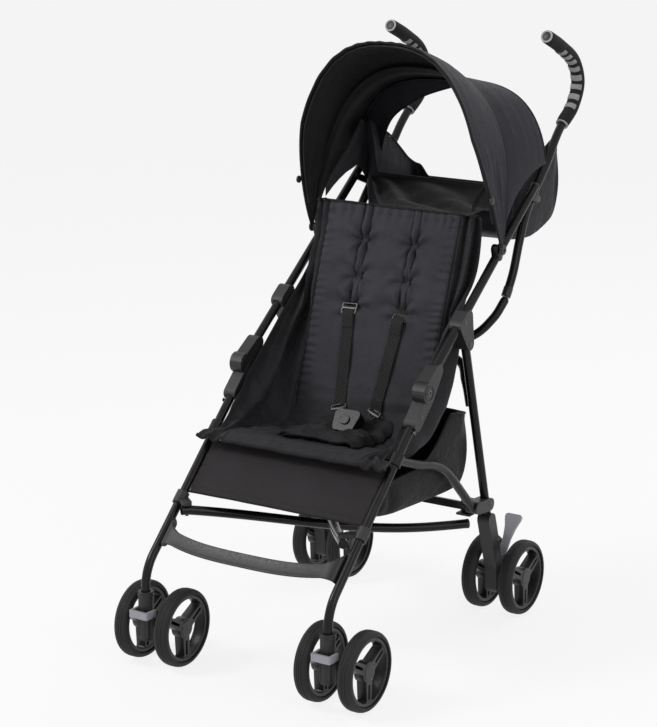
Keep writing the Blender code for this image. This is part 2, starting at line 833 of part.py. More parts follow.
def lock_mesh():
    """A swivel lock: a bail round the front of the caster's barrel, on two pins."""
    inner = BARREL_RADIUS + PASS_GAP
    front = -LOCK_REACH
    face = front - LOCK_THICKNESS
    outline = [
        (HALF_TRACK - inner, LOCK_BACK),
        (HALF_TRACK - inner, front),
        (HALF_TRACK + inner, front),
        (HALF_TRACK + inner, LOCK_BACK),
        (HALF_TRACK + LOCK_HALF_WIDTH, LOCK_BACK),
        (HALF_TRACK + LOCK_HALF_WIDTH, face + LOCK_CHAMFER),
        (HALF_TRACK + LOCK_HALF_WIDTH - LOCK_CHAMFER, face),
        (HALF_TRACK - LOCK_HALF_WIDTH + LOCK_CHAMFER, face),
        (HALF_TRACK - LOCK_HALF_WIDTH, face + LOCK_CHAMFER),
        (HALF_TRACK - LOCK_HALF_WIDTH, LOCK_BACK),
    ]
    bail = plate(outline, LOCK_HEIGHT - LOCK_LIFT, LOCK_HEIGHT + LOCK_LIFT, "Z")
    pins = []
    for way in (-1, 1):
        root = HALF_TRACK + way * (inner + LOCK_PIN_ROOT)
        tip = HALF_TRACK + way * (BARREL_RADIUS - LOCK_PIN_DEPTH)
        pins.append(cylinder((root, 0, LOCK_HEIGHT), (tip, 0, LOCK_HEIGHT), LOCK_PIN_RADIUS, 10))
    return joined(bail, *pins)


def front_leg_mesh():
    """The front leg: a stem in the caster, a bend and a straight run to the knuckle."""
    bend = math.pi / 2 - LEG_ANGLE
    tangent = LEG_BEND_RADIUS * math.tan(bend / 2)
    centre_y = LEG_BEND_RADIUS
    start_z = LEG_CORNER_Z - tangent
    steps = 6
    points = [Vector((HALF_TRACK, 0, STEM_BOTTOM))]
    for step in range(steps + 1):
        turned = bend * step / steps
        points.append(
            Vector(
                (
                    HALF_TRACK,
                    centre_y - LEG_BEND_RADIUS * math.cos(turned),
                    start_z + LEG_BEND_RADIUS * math.sin(turned),
                )
            )
        )
    points.append(leg_point(LEG_TOP_Y))
    return tube(points, TUBE_RADIUS)


def knuckle_mesh():
    """The joint between a front leg and an upper tube: a drum with two sleeves."""
    drum = upper_point(KNUCKLE_DRUM_Y)
    low = leg_point(KNUCKLE_LOW_Y)
    high = upper_point(KNUCKLE_HIGH_Y)
    leg_top = leg_point(LEG_TOP_Y + KNUCKLE_LEG_COVER)
    outer = HALF_TRACK + SLEEVE_RADIUS
    sleeve = hull(((low.y, low.z, SLEEVE_RADIUS), (leg_top.y, leg_top.z, SLEEVE_RADIUS)))
    lower = plate(sleeve, INNER_FACE, outer)
    upper = plate(
        hull(
            (
                (drum.y, drum.z, KNUCKLE_DRUM_RADIUS - KNUCKLE_DRUM_LIP),
                (leg_top.y, leg_top.z, SLEEVE_RADIUS + KNUCKLE_STEP),
                (high.y, high.z, SLEEVE_RADIUS),
            )
        ),
        INNER_FACE + KNUCKLE_STEP,
        outer - KNUCKLE_STEP,
    )
    face = cylinder(
        (INNER_FACE + ROOT, drum.y, drum.z),
        (HALF_TRACK + KNUCKLE_DRUM_OUTER, drum.y, drum.z),
        KNUCKLE_DRUM_RADIUS,
        20,
    )
    leg_end = leg_point(LEG_TOP_Y) + LEG_DIRECTION * SEAT_GAP
    upper_end = upper_point(UPPER_START_Y) - UPPER_DIRECTION * SEAT_GAP
    leg_bore = cylinder(leg_end, leg_point(KNUCKLE_LOW_Y - OVERRUN), BORE_RADIUS)
    upper_bore = cylinder(upper_end, upper_point(KNUCKLE_HIGH_Y + OVERRUN), BORE_RADIUS)
    return cut(joined(lower, upper, face), leg_bore, upper_bore)


def upper_tube_mesh():
    """The upper tube, with the lug of the canopy's pivot and the lug that holds the handle tube."""
    bar = tube([upper_point(UPPER_START_Y), upper_point(UPPER_END_Y)], TUBE_RADIUS)
    foot = upper_point(CANOPY_PIVOT[0] + CANOPY_LUG_LEAN)
    lug = plate(
        hull(((foot.y, foot.z, CANOPY_LUG_RADIUS), (*CANOPY_PIVOT, CANOPY_LUG_RADIUS)), 12),
        TUBE_INNER_FACE + ROOT,
        CANOPY_HALF_WIDTH - 2 * CANOPY_THICKNESS - CANOPY_LAP_GAP - SEAT_GAP,
    )
    start_y, start_radius = HANDLE_LUG_START
    start = (start_y, upper_point(start_y).z, start_radius)
    inner, outer = (HALF_TRACK - inset for inset in HANDLE_LUG_INSETS)
    handle_lug = plate(hull((start, HANDLE_LUG_END), 12), inner, outer)
    return joined(bar, lug, handle_lug)


def hub_mesh():
    """The bracket on the upper tube that the rear leg hangs from."""
    top = rear_leg_point(REAR_LEG_TOP[1])
    low = rear_leg_point(REAR_LEG_TOP[1] - HUB_SOCKET_DEPTH)
    near = Vector((0, *UPPER_POINT)) - UPPER_DIRECTION * HUB_TUBE_REACH
    far = Vector((0, *UPPER_POINT)) + UPPER_DIRECTION * HUB_TUBE_REACH
    body = plate(
        hull(((near.y, near.z, SLEEVE_RADIUS), (far.y, far.z, SLEEVE_RADIUS), (low.y, low.z, SLEEVE_RADIUS))),
        INNER_FACE,
        HALF_TRACK + SLEEVE_RADIUS,
    )
    down = (low - top).normalized()
    leg_bore = cylinder(top - down * SEAT_GAP, low + down * OVERRUN, BORE_RADIUS)
    tube_start = upper_point(UPPER_POINT[0] - OVERRUN)
    tube_bore = cylinder(tube_start, upper_point(UPPER_POINT[0] + OVERRUN), BORE_RADIUS)
    return cut(body, leg_bore, tube_bore)


def rear_leg_mesh():
    return tube([rear_leg_point(REAR_LEG_TOP[1]), rear_leg_point(REAR_LEG_BOTTOM[1])], TUBE_RADIUS)


def seat_bar_mesh():
    """The bar under the seat's side: a saddle on the front leg and a curve down to the rear bracket."""
    start = leg_point(SEAT_BAR_FRONT_Y)
    knots = [start, *(Vector((HALF_TRACK, *knot)) for knot in (*SEAT_BAR_KNOTS, SEAT_BAR_END))]
    bar = tube(smooth_path(knots, 2), TUBE_RADIUS)
    reach = LEG_DIRECTION * SADDLE_LENGTH / 2
    saddle = cylinder(start - reach, start + reach, CLIP_RADIUS)
    bore = cylinder(start - 2 * reach, start + 2 * reach, BORE_RADIUS)
    return cut(joined(bar, saddle), bore)


def front_bracket_mesh():
    """A clip on the front leg with a lug over the scissor bar's front pin."""
    x, y, z = BAR_FRONT
    lug_bottom = z + BAR_RADIUS + RUN_GAP
    centre = leg_point((lug_bottom + FRONT_LUG_THICKNESS / 2 - LEG_CORNER_Z) / math.tan(LEG_ANGLE))
    reach = LEG_DIRECTION * FRONT_CLIP_LENGTH / 2
    clip = cylinder(centre - reach, centre + reach, CLIP_RADIUS)
    lug = plate(
        hull(((x, y, FRONT_LUG_RADIUS), (HALF_TRACK - FRONT_LUG_INSET, centre.y, FRONT_LUG_RADIUS))),
        lug_bottom,
        lug_bottom + FRONT_LUG_THICKNESS,
        "Z",
    )
    pin = cylinder((x, y, z - BAR_RADIUS - ROOT), (x, y, lug_bottom + FRONT_PIN_ROOT), BAR_PIN_RADIUS, 12)
    bore = cylinder(centre - 2 * reach, centre + 2 * reach, BORE_RADIUS)
    return joined(cut(joined(clip, lug), bore), pin)


def cross_bar_mesh(over):
    """A scissor bar from the front bracket of its own side to the rear of the other side."""
    front = Vector(BAR_FRONT)
    rear = Vector((-BAR_REAR[0], BAR_REAR[1], BAR_REAR[2]))
    run = (rear - front).xy.length
    start = -BAR_OVERSHOOT / run
    stop = 1 + BAR_OVERSHOOT / run
    points = []
    for step in range(BAR_STATIONS + 1):
        share = start + (stop - start) * step / BAR_STATIONS
        inside = min(max(share, 0.0), 1.0)
        point = front.lerp(rear, share)
        point.z = front.z + (rear.z - front.z) * inside - BAR_SAG * math.sin(math.pi * inside**BAR_SAG_SKEW)
        point.z += over * BAR_STEP_OVER * math.sin(math.pi * inside) ** 4
        points.append(point)
    bar = tube(points, BAR_RADIUS)
    above = Vector((0, 0, OVERRUN))
    bore = cylinder(front - above, front + above, BAR_PIN_RADIUS + RUN_GAP, 12)
    pin = cylinder(rear, (rear.x, rear.y, tab_bottom() - SEAT_GAP), BAR_PIN_RADIUS, 12)
    return joined(cut(bar, bore), pin)


def tab_bottom():
    """The underside of the rear bracket's tab, clear above a scissor bar that passes under it."""
    return BAR_REAR[2] + BAR_RADIUS + TAB_CLEARANCE


def brace_slot(side):
    """Where the brace link of a side lies along Y; the two links pass each other."""
    low = BRACE_Y - BRACE_THICKNESS - SEAT_GAP if side > 0 else BRACE_Y + SEAT_GAP
    return low, low + BRACE_THICKNESS


def rear_bracket_mesh():
    """The bracket on the rear leg that holds the seat bar, the brace link and the scissor bar's rear end."""
    leg = rear_leg_point(REAR_BRACKET_Z)
    body = plate(
        hull(((leg.y, leg.z, SLEEVE_RADIUS), (*REAR_BRACKET_SOCKET, SLEEVE_RADIUS - BRACKET_STEP))),
        INNER_FACE,
        HALF_TRACK + SLEEVE_RADIUS,
    )
    lug_low = BRACE_Y + BRACE_THICKNESS + 2 * SEAT_GAP
    inner = BRACE_HALF_SPAN - TAB_REACH
    root = INNER_FACE + LUG_ROOT
    lug_back = lug_low + LUG_THICKNESS
    lug = box((inner, lug_low, tab_bottom()), (root, lug_back, REAR_BRACKET_Z + TAB_REACH))
    tab = box((inner, BRACE_Y - TAB_REACH, tab_bottom()), (root, lug_back, tab_bottom() + TAB_THICKNESS))
    pin_start = (BRACE_HALF_SPAN, BRACE_Y - BRACE_THICKNESS - ROOT, REAR_BRACKET_Z)
    pin = cylinder(pin_start, (BRACE_HALF_SPAN, lug_low + LUG_ROOT, REAR_BRACKET_Z), BRACE_PIN_RADIUS, 12)
    above = rear_leg_point(REAR_BRACKET_Z + OVERRUN)
    leg_bore = cylinder(above, rear_leg_point(REAR_BRACKET_Z - OVERRUN), BORE_RADIUS)
    end = Vector((HALF_TRACK, *SEAT_BAR_END))
    before = Vector((HALF_TRACK, *SEAT_BAR_KNOTS[-1]))
    bar_bore = cylinder(end + (end - before).normalized() * SEAT_GAP, before, BORE_RADIUS)
    return joined(cut(joined(body, lug, tab), leg_bore, bar_bore), pin)


def brace_link_mesh(side):
    """Half of the brace between the rear legs: a flat link from its pin past the middle."""
    low, high = brace_slot(side)
    link = plate(
        hull(
            (
                (BRACE_HALF_SPAN, REAR_BRACKET_Z, BRACE_HEIGHT / 2),
                (-BRACE_LAP, REAR_BRACKET_Z, BRACE_HEIGHT / 2),
            ),
            12,
        ),
        low,
        high,
        "Y",
    )
    bore = cylinder(
        (BRACE_HALF_SPAN, low - OVERRUN, REAR_BRACKET_Z),
        (BRACE_HALF_SPAN, high + OVERRUN, REAR_BRACKET_Z),
        BRACE_PIN_RADIUS + RUN_GAP,
        12,
    )
    return cut(link, bore)


def rear_housing_mesh():
    """The rear wheel housing: a sleeve on the leg, a foot, ears for the pedal's pin, and the axle."""
    top = rear_leg_point(HOUSING_TOP_Z)
    sleeve = plate(
        hull(((top.y, top.z - HOUSING_RADIUS, HOUSING_RADIUS), (*HOUSING_KNEE, HOUSING_RADIUS))),
        HALF_TRACK - HOUSING_HALF,
        HALF_TRACK + HOUSING_HALF,
    )
    foot = plate(
        hull(
            (
                (*HOUSING_KNEE, HOUSING_SMALL_RADIUS),
                (*HOUSING_FOOT, HOUSING_SMALL_RADIUS),
                (WHEELBASE, WHEEL_RADIUS, HOUSING_SMALL_RADIUS),
                (*PEDAL_PIVOT, PEDAL_BOSS_RADIUS + PEDAL_EAR_WALL),
            )
        ),
        HALF_TRACK - HOUSING_HALF + HOUSING_STEP,
        HALF_TRACK + HOUSING_HALF - HOUSING_STEP,
    )
    slot_y, slot_z = PEDAL_PIVOT
    clear = PEDAL_BOSS_RADIUS + PASS_GAP
    slot = plate(
        [
            (slot_y - clear, slot_z - clear),
            (slot_y + PEDAL_SLOT_REACH, slot_z - clear),
            (slot_y + PEDAL_SLOT_REACH, slot_z + PEDAL_SLOT_REACH),
            (slot_y - clear, slot_z + PEDAL_SLOT_REACH),
        ],
        HALF_TRACK - PEDAL_BOSS_HALF - SEAT_GAP,
        HALF_TRACK + PEDAL_BOSS_HALF + SEAT_GAP,
    )
    pin = cylinder(
        (HALF_TRACK - PEDAL_BOSS_HALF - ROOT, slot_y, slot_z),
        (HALF_TRACK + PEDAL_BOSS_HALF + ROOT, slot_y, slot_z),
        PEDAL_PIN_RADIUS,
        12,
    )
    down = (rear_leg_point(REAR_LEG_BOTTOM[1]) - rear_leg_point(REAR_LEG_TOP[1])).normalized()
    leg_end = rear_leg_point(REAR_LEG_BOTTOM[1]) + down * SEAT_GAP
    leg_bore = cylinder(leg_end, rear_leg_point(HOUSING_TOP_Z + OVERRUN), BORE_RADIUS)
    axle = axle_mesh((HALF_TRACK, WHEELBASE, WHEEL_RADIUS), REAR_TWIN_HALF)
    return joined(cut(joined(sleeve, foot), slot, leg_bore), pin, axle)


def pedal_mesh():
    """A brake pedal: a paddle that leans back from a boss on its pin."""
    y, z = PEDAL_PIVOT
    boss = cylinder(
        (HALF_TRACK - PEDAL_BOSS_HALF, y, z), (HALF_TRACK + PEDAL_BOSS_HALF, y, z), PEDAL_BOSS_RADIUS, 16
    )
    swell = PEDAL_TOP_HALF - PEDAL_NECK_HALF
    edge = [(PEDAL_NECK_HALF + swell * share, PEDAL_LENGTH * along) for along, share in PEDAL_EDGE]
    edge.append((PEDAL_TOP_HALF - PEDAL_CORNER, PEDAL_LENGTH))
    outline = edge + [(-half, along) for half, along in edge[::-1]]
    paddle = plate(outline, -PEDAL_THICKNESS / 2, PEDAL_THICKNESS / 2, "Y")
    lean = Matrix.Rotation(PEDAL_ANGLE - math.pi / 2, 4, "X")
    paddle.transform(Matrix.Translation((HALF_TRACK, y, z)) @ lean)
    bore_radius = PEDAL_PIN_RADIUS + PIN_BORE_GAP
    bore = cylinder((HALF_TRACK - OVERRUN, y, z), (HALF_TRACK + OVERRUN, y, z), bore_radius, 12)
    return cut(joined(boss, paddle), bore)


def handle_knots():
    """The handle tube's axis from the split to the grip's end."""
    knots = [(HALF_TRACK - inset, y, z) for inset, y, z in HANDLE_KNOTS]
    grip_knots = [(HALF_TRACK - GRIP_INSET, y, z) for y, z in GRIP_KNOTS]
    return [SPLIT_POINT, *knots, *grip_knots]


def handle_axis():
    return smooth_path(handle_knots(), HANDLE_STEPS)


def grip_start_index():
    """The first point of the handle's axis that lies under the grip."""
    return HANDLE_STEPS * (1 + len(HANDLE_KNOTS))


def handle_tube_mesh():
    """The handle tube, with a round socket at its foot for the cross tube's domed end."""
    axis = handle_axis()
    foot = axis[0] + (axis[1] - axis[0]).normalized() * HANDLE_SOCKET
    bar = tube([foot, *axis[1:-1]], TUBE_RADIUS)
    socket = ball(Vector(SPLIT_POINT), TUBE_RADIUS + RUN_GAP, 16)
    return cut(bar, socket)


def grip_mesh():
    """A foam grip, closed at its end, over the handle tube."""
    axis = handle_axis()[grip_start_index() :]
    points, scales = round_ended(axis, GRIP_RADIUS * GRIP_DOME, first=False)
    grip = tube(points, GRIP_RADIUS, 3, scales)
    hole_start = axis[0] + (axis[0] - axis[1]) / 2
    hole_end = axis[-2] + (axis[-1] - axis[-2]).normalized() * RUN_GAP
    hole_axis = [hole_start, *axis[:-2], hole_end]
    return cut(grip, tube(hole_axis, TUBE_RADIUS + RUN_GAP, 3))


def cross_tube_mesh(side):
    """The cross tube from its handle tube down to the other side's rear leg."""
    offset = -CROSS_SPACING if side > 0 else CROSS_SPACING
    middle_y = CROSS_MIDDLE_Y + offset
    knots = [
        SPLIT_POINT,
        CROSS_NEAR,
        (CROSS_BEND[0], CROSS_BEND[1] + offset / 2, CROSS_BEND[2]),
        (CROSS_RUN[0], middle_y + CROSS_RUN[1], CROSS_RUN[2]),
        (0.0, middle_y, CROSS_MIDDLE_HEIGHT),
        (CROSS_FAR[0], middle_y + CROSS_FAR[1], CROSS_FAR[2]),
        CROSS_FAR_BEND,
        CROSS_END,
    ]
    axis = smooth_path(knots, 3)
    points, scales = round_ended(axis, TUBE_RADIUS, last=False)
    return tube(points, TUBE_RADIUS, 2, scales)


def footrest_mesh():
    """A flexible strap across the fronts of the legs, with taller ends."""
    middle = leg_point(FOOTREST_ALONG)
    band_inset, band_ahead = FOOTREST_ENDS[0][:2]
    band_end = HALF_TRACK - band_inset
    half = []
    for share in FOOTREST_BAND:
        x = share * band_end
        bow = Vector(FOOTREST_BOW_WAY) * FOOTREST_BOW * (1 - share**3)
        low = middle + LEG_FRONT * band_ahead + LEG_DIRECTION * FOOTREST_FOOT - bow
        half.append((x, low, FOOTREST_HEIGHT))
    for inset, ahead, height, start in FOOTREST_ENDS:
        half.append((HALF_TRACK - inset, middle + LEG_FRONT * ahead + LEG_DIRECTION * start, height))
    rows = []
    for way, run in ((-1, half[:0:-1]), (1, half)):
        for x, low, height in run:
            point = Vector((way * x, low.y, low.z))
            rows.append([point, point + LEG_DIRECTION * height])
    return thickened(sheet(rows), FOOTREST_THICKNESS, 0)


def seat_rows():
    """Paired middle and edge points of the sling, from the front flap to the top of the back."""
    low = Vector((0, *SEAT_MIDDLE[-1]))
    high = Vector((0, *SEAT_BACK_TOP))
    edges = [Vector((0, *point)) for point in (*SEAT_EDGE, *SEAT_EDGE_TOP)]
    back_edges = smooth_path(edges[len(SEAT_EDGE) - 1 :], 4)
    rows = [(Vector((0, *middle)), edge) for middle, edge in zip(SEAT_MIDDLE, edges)]
    rows = [
        pair
        for first, second in zip(rows, rows[1:])
        for pair in (first, (first[0].lerp(second[0], 0.5), first[1].lerp(second[1], 0.5)))
    ]
    for step in range(SEAT_BACK_ROWS + 1):
        share = step / SEAT_BACK_ROWS
        edge = back_edges[min(round(share * (len(back_edges) - 1)), len(back_edges) - 1)]
        rows.append((low.lerp(high, share), edge))
    return rows


def tuft_dip(x, z):
    """How far the sewn tufts draw the back in at a point."""
    return sum(
        TUFT_DEPTH * math.exp(-((abs(x) - TUFT_X) ** 2 + (z - height) ** 2) / (2 * TUFT_SIZE**2))
        for height in TUFT_HEIGHTS
    )


def seat_mesh():
    """The sling seat: a front flap, a seat, a tufted back and side gussets out to the tubes."""
    edge_x = INNER_FACE - SEAT_THICKNESS / 2 - SEAT_GAP
    flap_end_y = SEAT_EDGE[1][0] + SEAT_GAP
    belly_start_y = SEAT_MIDDLE[1][0] + ROOT
    back_start_z = SEAT_MIDDLE[-1][1] - ROOT
    inner = SEAT_COLUMNS - SEAT_GUSSET_COLUMNS
    rows = []
    for middle, edge in seat_rows():
        half = SEAT_FLAP_HALF if edge.y < flap_end_y else edge_x
        belly = SEAT_BELLY if middle.z < back_start_z and middle.y > belly_start_y else 0.0
        row = []
        for column in range(-SEAT_COLUMNS, SEAT_COLUMNS + 1):
            way = 1 if column > 0 else -1
            if abs(column) <= inner:
                x = SEAT_PANEL_HALF * column / inner
                back = tuft_dip(x, middle.z)
                row.append((x, middle.y + back, middle.z - belly * (1 - (column / inner) ** 2)))
            else:
                share = (abs(column) - inner) / SEAT_GUSSET_COLUMNS
                point = middle.lerp(edge, share)
                x = SEAT_PANEL_HALF + (half - SEAT_PANEL_HALF) * share
                row.append((way * x, point.y, point.z))
        rows.append(row)
    return thickened(sheet(rows), SEAT_THICKNESS, 0)


def calf_mesh():
    """The cloth between the front legs under the seat's flap."""
    half = TUBE_INNER_FACE - SEAT_GAP
    rows = []
    for step in range(CALF_ROWS + 1):
        z = CALF_BOTTOM_Z + (CALF_TOP_Z - CALF_BOTTOM_Z) * step / CALF_ROWS
        rise = math.sin(math.pi * (CALF_BILLOW_START + CALF_BILLOW_RUN * step / CALF_ROWS))
        base = leg_point((z - LEG_CORNER_Z) / math.tan(LEG_ANGLE))
        row = []
        for column in range(-CALF_COLUMNS, CALF_COLUMNS + 1):
            share = column / CALF_COLUMNS
            point = base + LEG_FRONT * CALF_BILLOW * math.cos(math.pi * share / 2) * rise
            row.append((half * share, point.y, point.z))
        rows.append(row)
    return thickened(sheet(rows), CALF_THICKNESS, 0)


def canopy_columns(inset):
    """Across the canopy: X and the share of the reach about the pivots, its outside set in by inset."""
    half = CANOPY_HALF_WIDTH - inset
    power = 2 / CANOPY_SQUARENESS
    start = math.asin((CANOPY_FOOT / CANOPY_REACH) ** (1 / power))
    columns = []
    for column in range(CANOPY_COLUMNS + 1):
        turn = start + (math.pi - 2 * start) * column / CANOPY_COLUMNS
        across = math.cos(turn)
        columns.append((math.copysign(abs(across) ** power, across) * half, math.sin(turn) ** power))
    return columns


def canopy_point(x, reach, angle):
    return (x, CANOPY_PIVOT[0] + reach * math.sin(angle), CANOPY_PIVOT[1] + reach * math.cos(angle))


def canopy_shell(rows):
    """A shell with its outside through the rows of points."""
    mesh = sheet(rows)
    facing = sum(polygon.normal.z for polygon in mesh.polygons)
    return thickened(mesh, CANOPY_THICKNESS, -1 if facing > 0 else 1)


def canopy_front_mesh():
    """The visor, from the front hoop to the seam."""
    rows = []
    for row in range(CANOPY_ROWS + 1):
        share = row / CANOPY_ROWS
        points = []
        for x, part in canopy_columns(0.0):
            radius = part * CANOPY_REACH
            ahead = CANOPY_FRONT_AHEAD * min(1.0, radius / CANOPY_FRONT_BEND) ** CANOPY_FRONT_POWER
            front = -math.asin(min(ahead / radius, CANOPY_FRONT_LIMIT))
            angle = front + (CANOPY_SEAM_ANGLE - front) * share
            reach = part * (CANOPY_REACH + (CANOPY_SEAM_REACH - CANOPY_REACH) * share)
            points.append(canopy_point(x, reach, angle))
        rows.append(points)
    return canopy_shell(rows)


def canopy_rear_mesh():
    """The rear of the canopy, from under the visor's edge to the squarer rear hoop."""
    inset = CANOPY_THICKNESS + CANOPY_LAP_GAP
    start = CANOPY_SEAM_ANGLE - CANOPY_LAP_ANGLE
    hem = []
    rows = []
    for row in range(CANOPY_ROWS + 1):
        share = row / CANOPY_ROWS
        points = []
        for x, part in canopy_columns(inset):
            near = part * (CANOPY_SEAM_REACH - inset - CANOPY_LAP_DROP)
            level = abs(x) / CANOPY_HALF_WIDTH
            rise = 1 - level**CANOPY_REAR_SQUARENESS
            up = CANOPY_REAR_HEIGHT * rise ** (1 / CANOPY_REAR_SQUARENESS)
            back = CANOPY_REAR_BACK * min(1.0, up / CANOPY_REAR_BEND)
            last = math.atan2(back, up)
            angle = start + (last - start) * share
            swell = max(0.0, (angle - CANOPY_SEAM_ANGLE) / (last - CANOPY_SEAM_ANGLE))
            points.append(canopy_point(x, near + (math.hypot(up, back) - near) * swell, angle))
            if row == CANOPY_ROWS:
                drop = CANOPY_VALANCE_DROP + CANOPY_VALANCE_CORNER * min(1.0, level / CANOPY_VALANCE_LEVEL)
                inward = CANOPY_VALANCE_IN * min(1.0, up / CANOPY_REAR_BEND)
                hem.append((x * (1 - inward), CANOPY_PIVOT[0] + back, CANOPY_PIVOT[1] + up * (1 - drop)))
        rows.append(points)
    return canopy_shell([*rows, hem])


def pouch_mesh():
    """A bag hung behind the seat back, open at its top."""
    bag = plate(POUCH_OUTLINE, -POUCH_HALF_WIDTH, POUCH_HALF_WIDTH)
    inside = POUCH_HALF_WIDTH - POUCH_WALL
    hollow = plate(POUCH_HOLLOW, -inside, inside)
    notch = plate(POUCH_NOTCH, -POUCH_NOTCH_HALF, POUCH_NOTCH_HALF)
    slump = plate(POUCH_SLUMP, -POUCH_HALF_WIDTH - POUCH_WALL, POUCH_NOTCH_HALF)
    return cut(bag, hollow, notch, slump)


def basket_mesh():
    """A cloth bin under the seat, open at its top."""
    half = TUBE_INNER_FACE - PIN_BORE_GAP
    wall = BASKET_WALL
    bin_shape = plate((BASKET_FRONT, *BASKET_FLOOR, BASKET_HEEL, *BASKET_BACK, *BASKET_RIM), -half, half)
    front = (BASKET_FRONT[0] + 2 * wall, BASKET_FRONT[1] + wall)
    floor = [(y, z + wall) for y, z in BASKET_FLOOR]
    heel = (BASKET_HEEL[0] - wall, BASKET_HEEL[1] + wall)
    back = [(y - wall, z) for y, z in BASKET_BACK]
    top = BASKET_RIM[0][1] + OVERRUN
    above = [(back[-1][0] - wall, top), (front[0] + wall, top)]
    hollow = plate((front, *floor, heel, *back, *above), wall - half, half - wall)
    return cut(bin_shape, hollow)


def back_point(z, ahead):
    """A point ahead of the seat back's middle at a height."""
    low = Vector((0, *SEAT_MIDDLE[-1]))
    high = Vector((0, *SEAT_BACK_TOP))
    place = low.lerp(high, (z - low.z) / (high.z - low.z))
    normal = Vector((0, -(high.z - low.z), high.y - low.y)).normalized()
    return place + normal * ahead


def harness_mesh():
    """Two shoulder straps and a crotch strap that meet behind the buckle."""
    lift = SEAT_THICKNESS / 2 + STRAP_THICKNESS / 2 + 2 * SEAT_GAP
    parts = []
    for way in (-1, 1):
        knots = []
        for step in range(STRAP_STEPS + 1):
            share = step / STRAP_STEPS
            x = STRAP_TOP[0] + (STRAP_LOW[0] - STRAP_TOP[0]) * share
            z = STRAP_TOP[1] + (STRAP_LOW[1] - STRAP_TOP[1]) * share
            point = back_point(z, lift)
            knots.append((way * x, point.y, point.z))
        knots.extend((way * x, y, z) for x, y, z in STRAP_TAIL)
        parts.append(ribbon(knots, STRAP_WIDTH, STRAP_THICKNESS))
    crotch = ribbon(CROTCH_KNOTS, STRAP_WIDTH + CROTCH_EXTRA[0], STRAP_THICKNESS + CROTCH_EXTRA[1])
    return joined(crotch, *parts)


def buckle_frame():
    return Matrix.Translation(BUCKLE_CENTRE) @ Matrix.Rotation(BUCKLE_TILT, 4, "X")


def buckle_mesh():
    """The buckle body, with a well for its button."""
    width, depth, height = BUCKLE_SIZE
    wide = width / 2 - BUCKLE_CORNER
    narrow = wide - BUCKLE_TAPER
    high = height / 2 - BUCKLE_CORNER
    corners = ((-wide, high), (wide, high), (-narrow, -high), (narrow, -high))
    body = plate(hull([(*corner, BUCKLE_CORNER) for corner in corners], 12), -depth / 2, depth / 2, "Y")
    well = cylinder((0, -depth, 0), (0, -depth / 2 + BUTTON_DEPTH, 0), BUTTON_RADIUS + PIN_BORE_GAP)
    mesh = cut(body, well)
    mesh.transform(buckle_frame())
    return mesh


def button_mesh():
    """The buckle's push button."""
    depth = BUCKLE_SIZE[1]
    outer = -depth / 2 - BUTTON_PROUD
    mesh = cylinder((0, outer, 0), (0, outer + BUTTON_DEPTH - SEAT_GAP, 0), BUTTON_RADIUS)
    mesh.transform(buckle_frame())
    return mesh


def add_side(stroller, side):
    """One side frame with its caster, rear wheels and the pieces that hinge on it."""

    def put(name, mesh, look, parent, origin=(0.0, 0.0, 0.0)):
        if side < 0:
            mesh = mirrored(mesh)
        x, y, z = origin
        return add(sided(name, side), mesh, look, parent, (side * x, y, z))

    def pivot(name, parent, origin):
        x, y, z = origin
        return add_pivot(sided(name, side), parent, (side * x, y, z))

    frame = pivot("side_frame", stroller, (0, 0, 0))
    put("front_leg", front_leg_mesh(), TUBE_BLACK, frame)
    put("knuckle", knuckle_mesh(), PLASTIC_BLACK, frame)
    put("upper_tube", upper_tube_mesh(), TUBE_BLACK, frame)
    put("hub", hub_mesh(), PLASTIC_BLACK, frame)
    put("rear_leg", rear_leg_mesh(), TUBE_BLACK, frame)
    put("seat_bar", seat_bar_mesh(), TUBE_BLACK, frame)
    put("front_bracket", front_bracket_mesh(), PLASTIC_BLACK, frame)
    put("rear_bracket", rear_bracket_mesh(), PLASTIC_BLACK, frame)
    put("rear_housing", rear_housing_mesh(), PLASTIC_BLACK, frame)
    put("handle_tube", handle_tube_mesh(), TUBE_BLACK, frame)
    put("grip", grip_mesh(), GRIP_BLACK, frame)
    put("rear_cross_tube", cross_tube_mesh(side), TUBE_BLACK, frame, SPLIT_POINT)
    put("cross_bar", cross_bar_mesh(1 if side > 0 else 0), TUBE_BLACK, frame, BAR_FRONT)
    put("brace_link", brace_link_mesh(side), TUBE_BLACK, frame, (BRACE_HALF_SPAN, BRACE_Y, REAR_BRACKET_Z))
    put("brake_pedal", pedal_mesh(), PEDAL_GREY, frame, (HALF_TRACK, *PEDAL_PIVOT))
    caster = pivot("caster", frame, (HALF_TRACK, 0, BARREL_TOP))
    put("front_fork", fork_mesh(), PLASTIC_BLACK, caster, (HALF_TRACK, 0, BARREL_TOP))
    put("swivel_lock", lock_mesh(), LEVER_GREY, caster, (HALF_TRACK, 0, LOCK_HEIGHT))
    twins = (("front", caster, CASTER_TRAIL, FRONT_TWIN_HALF), ("rear", frame, WHEELBASE, REAR_TWIN_HALF))
    for place, parent, y, half_spacing in twins:
        for way, which in ((1, "outer"), (-1, "inner")):
            centre = (side * (HALF_TRACK + way * half_spacing), y, WHEEL_RADIUS)
            add_wheel(sided(f"{place}_{which}", side), parent, centre, side * way)


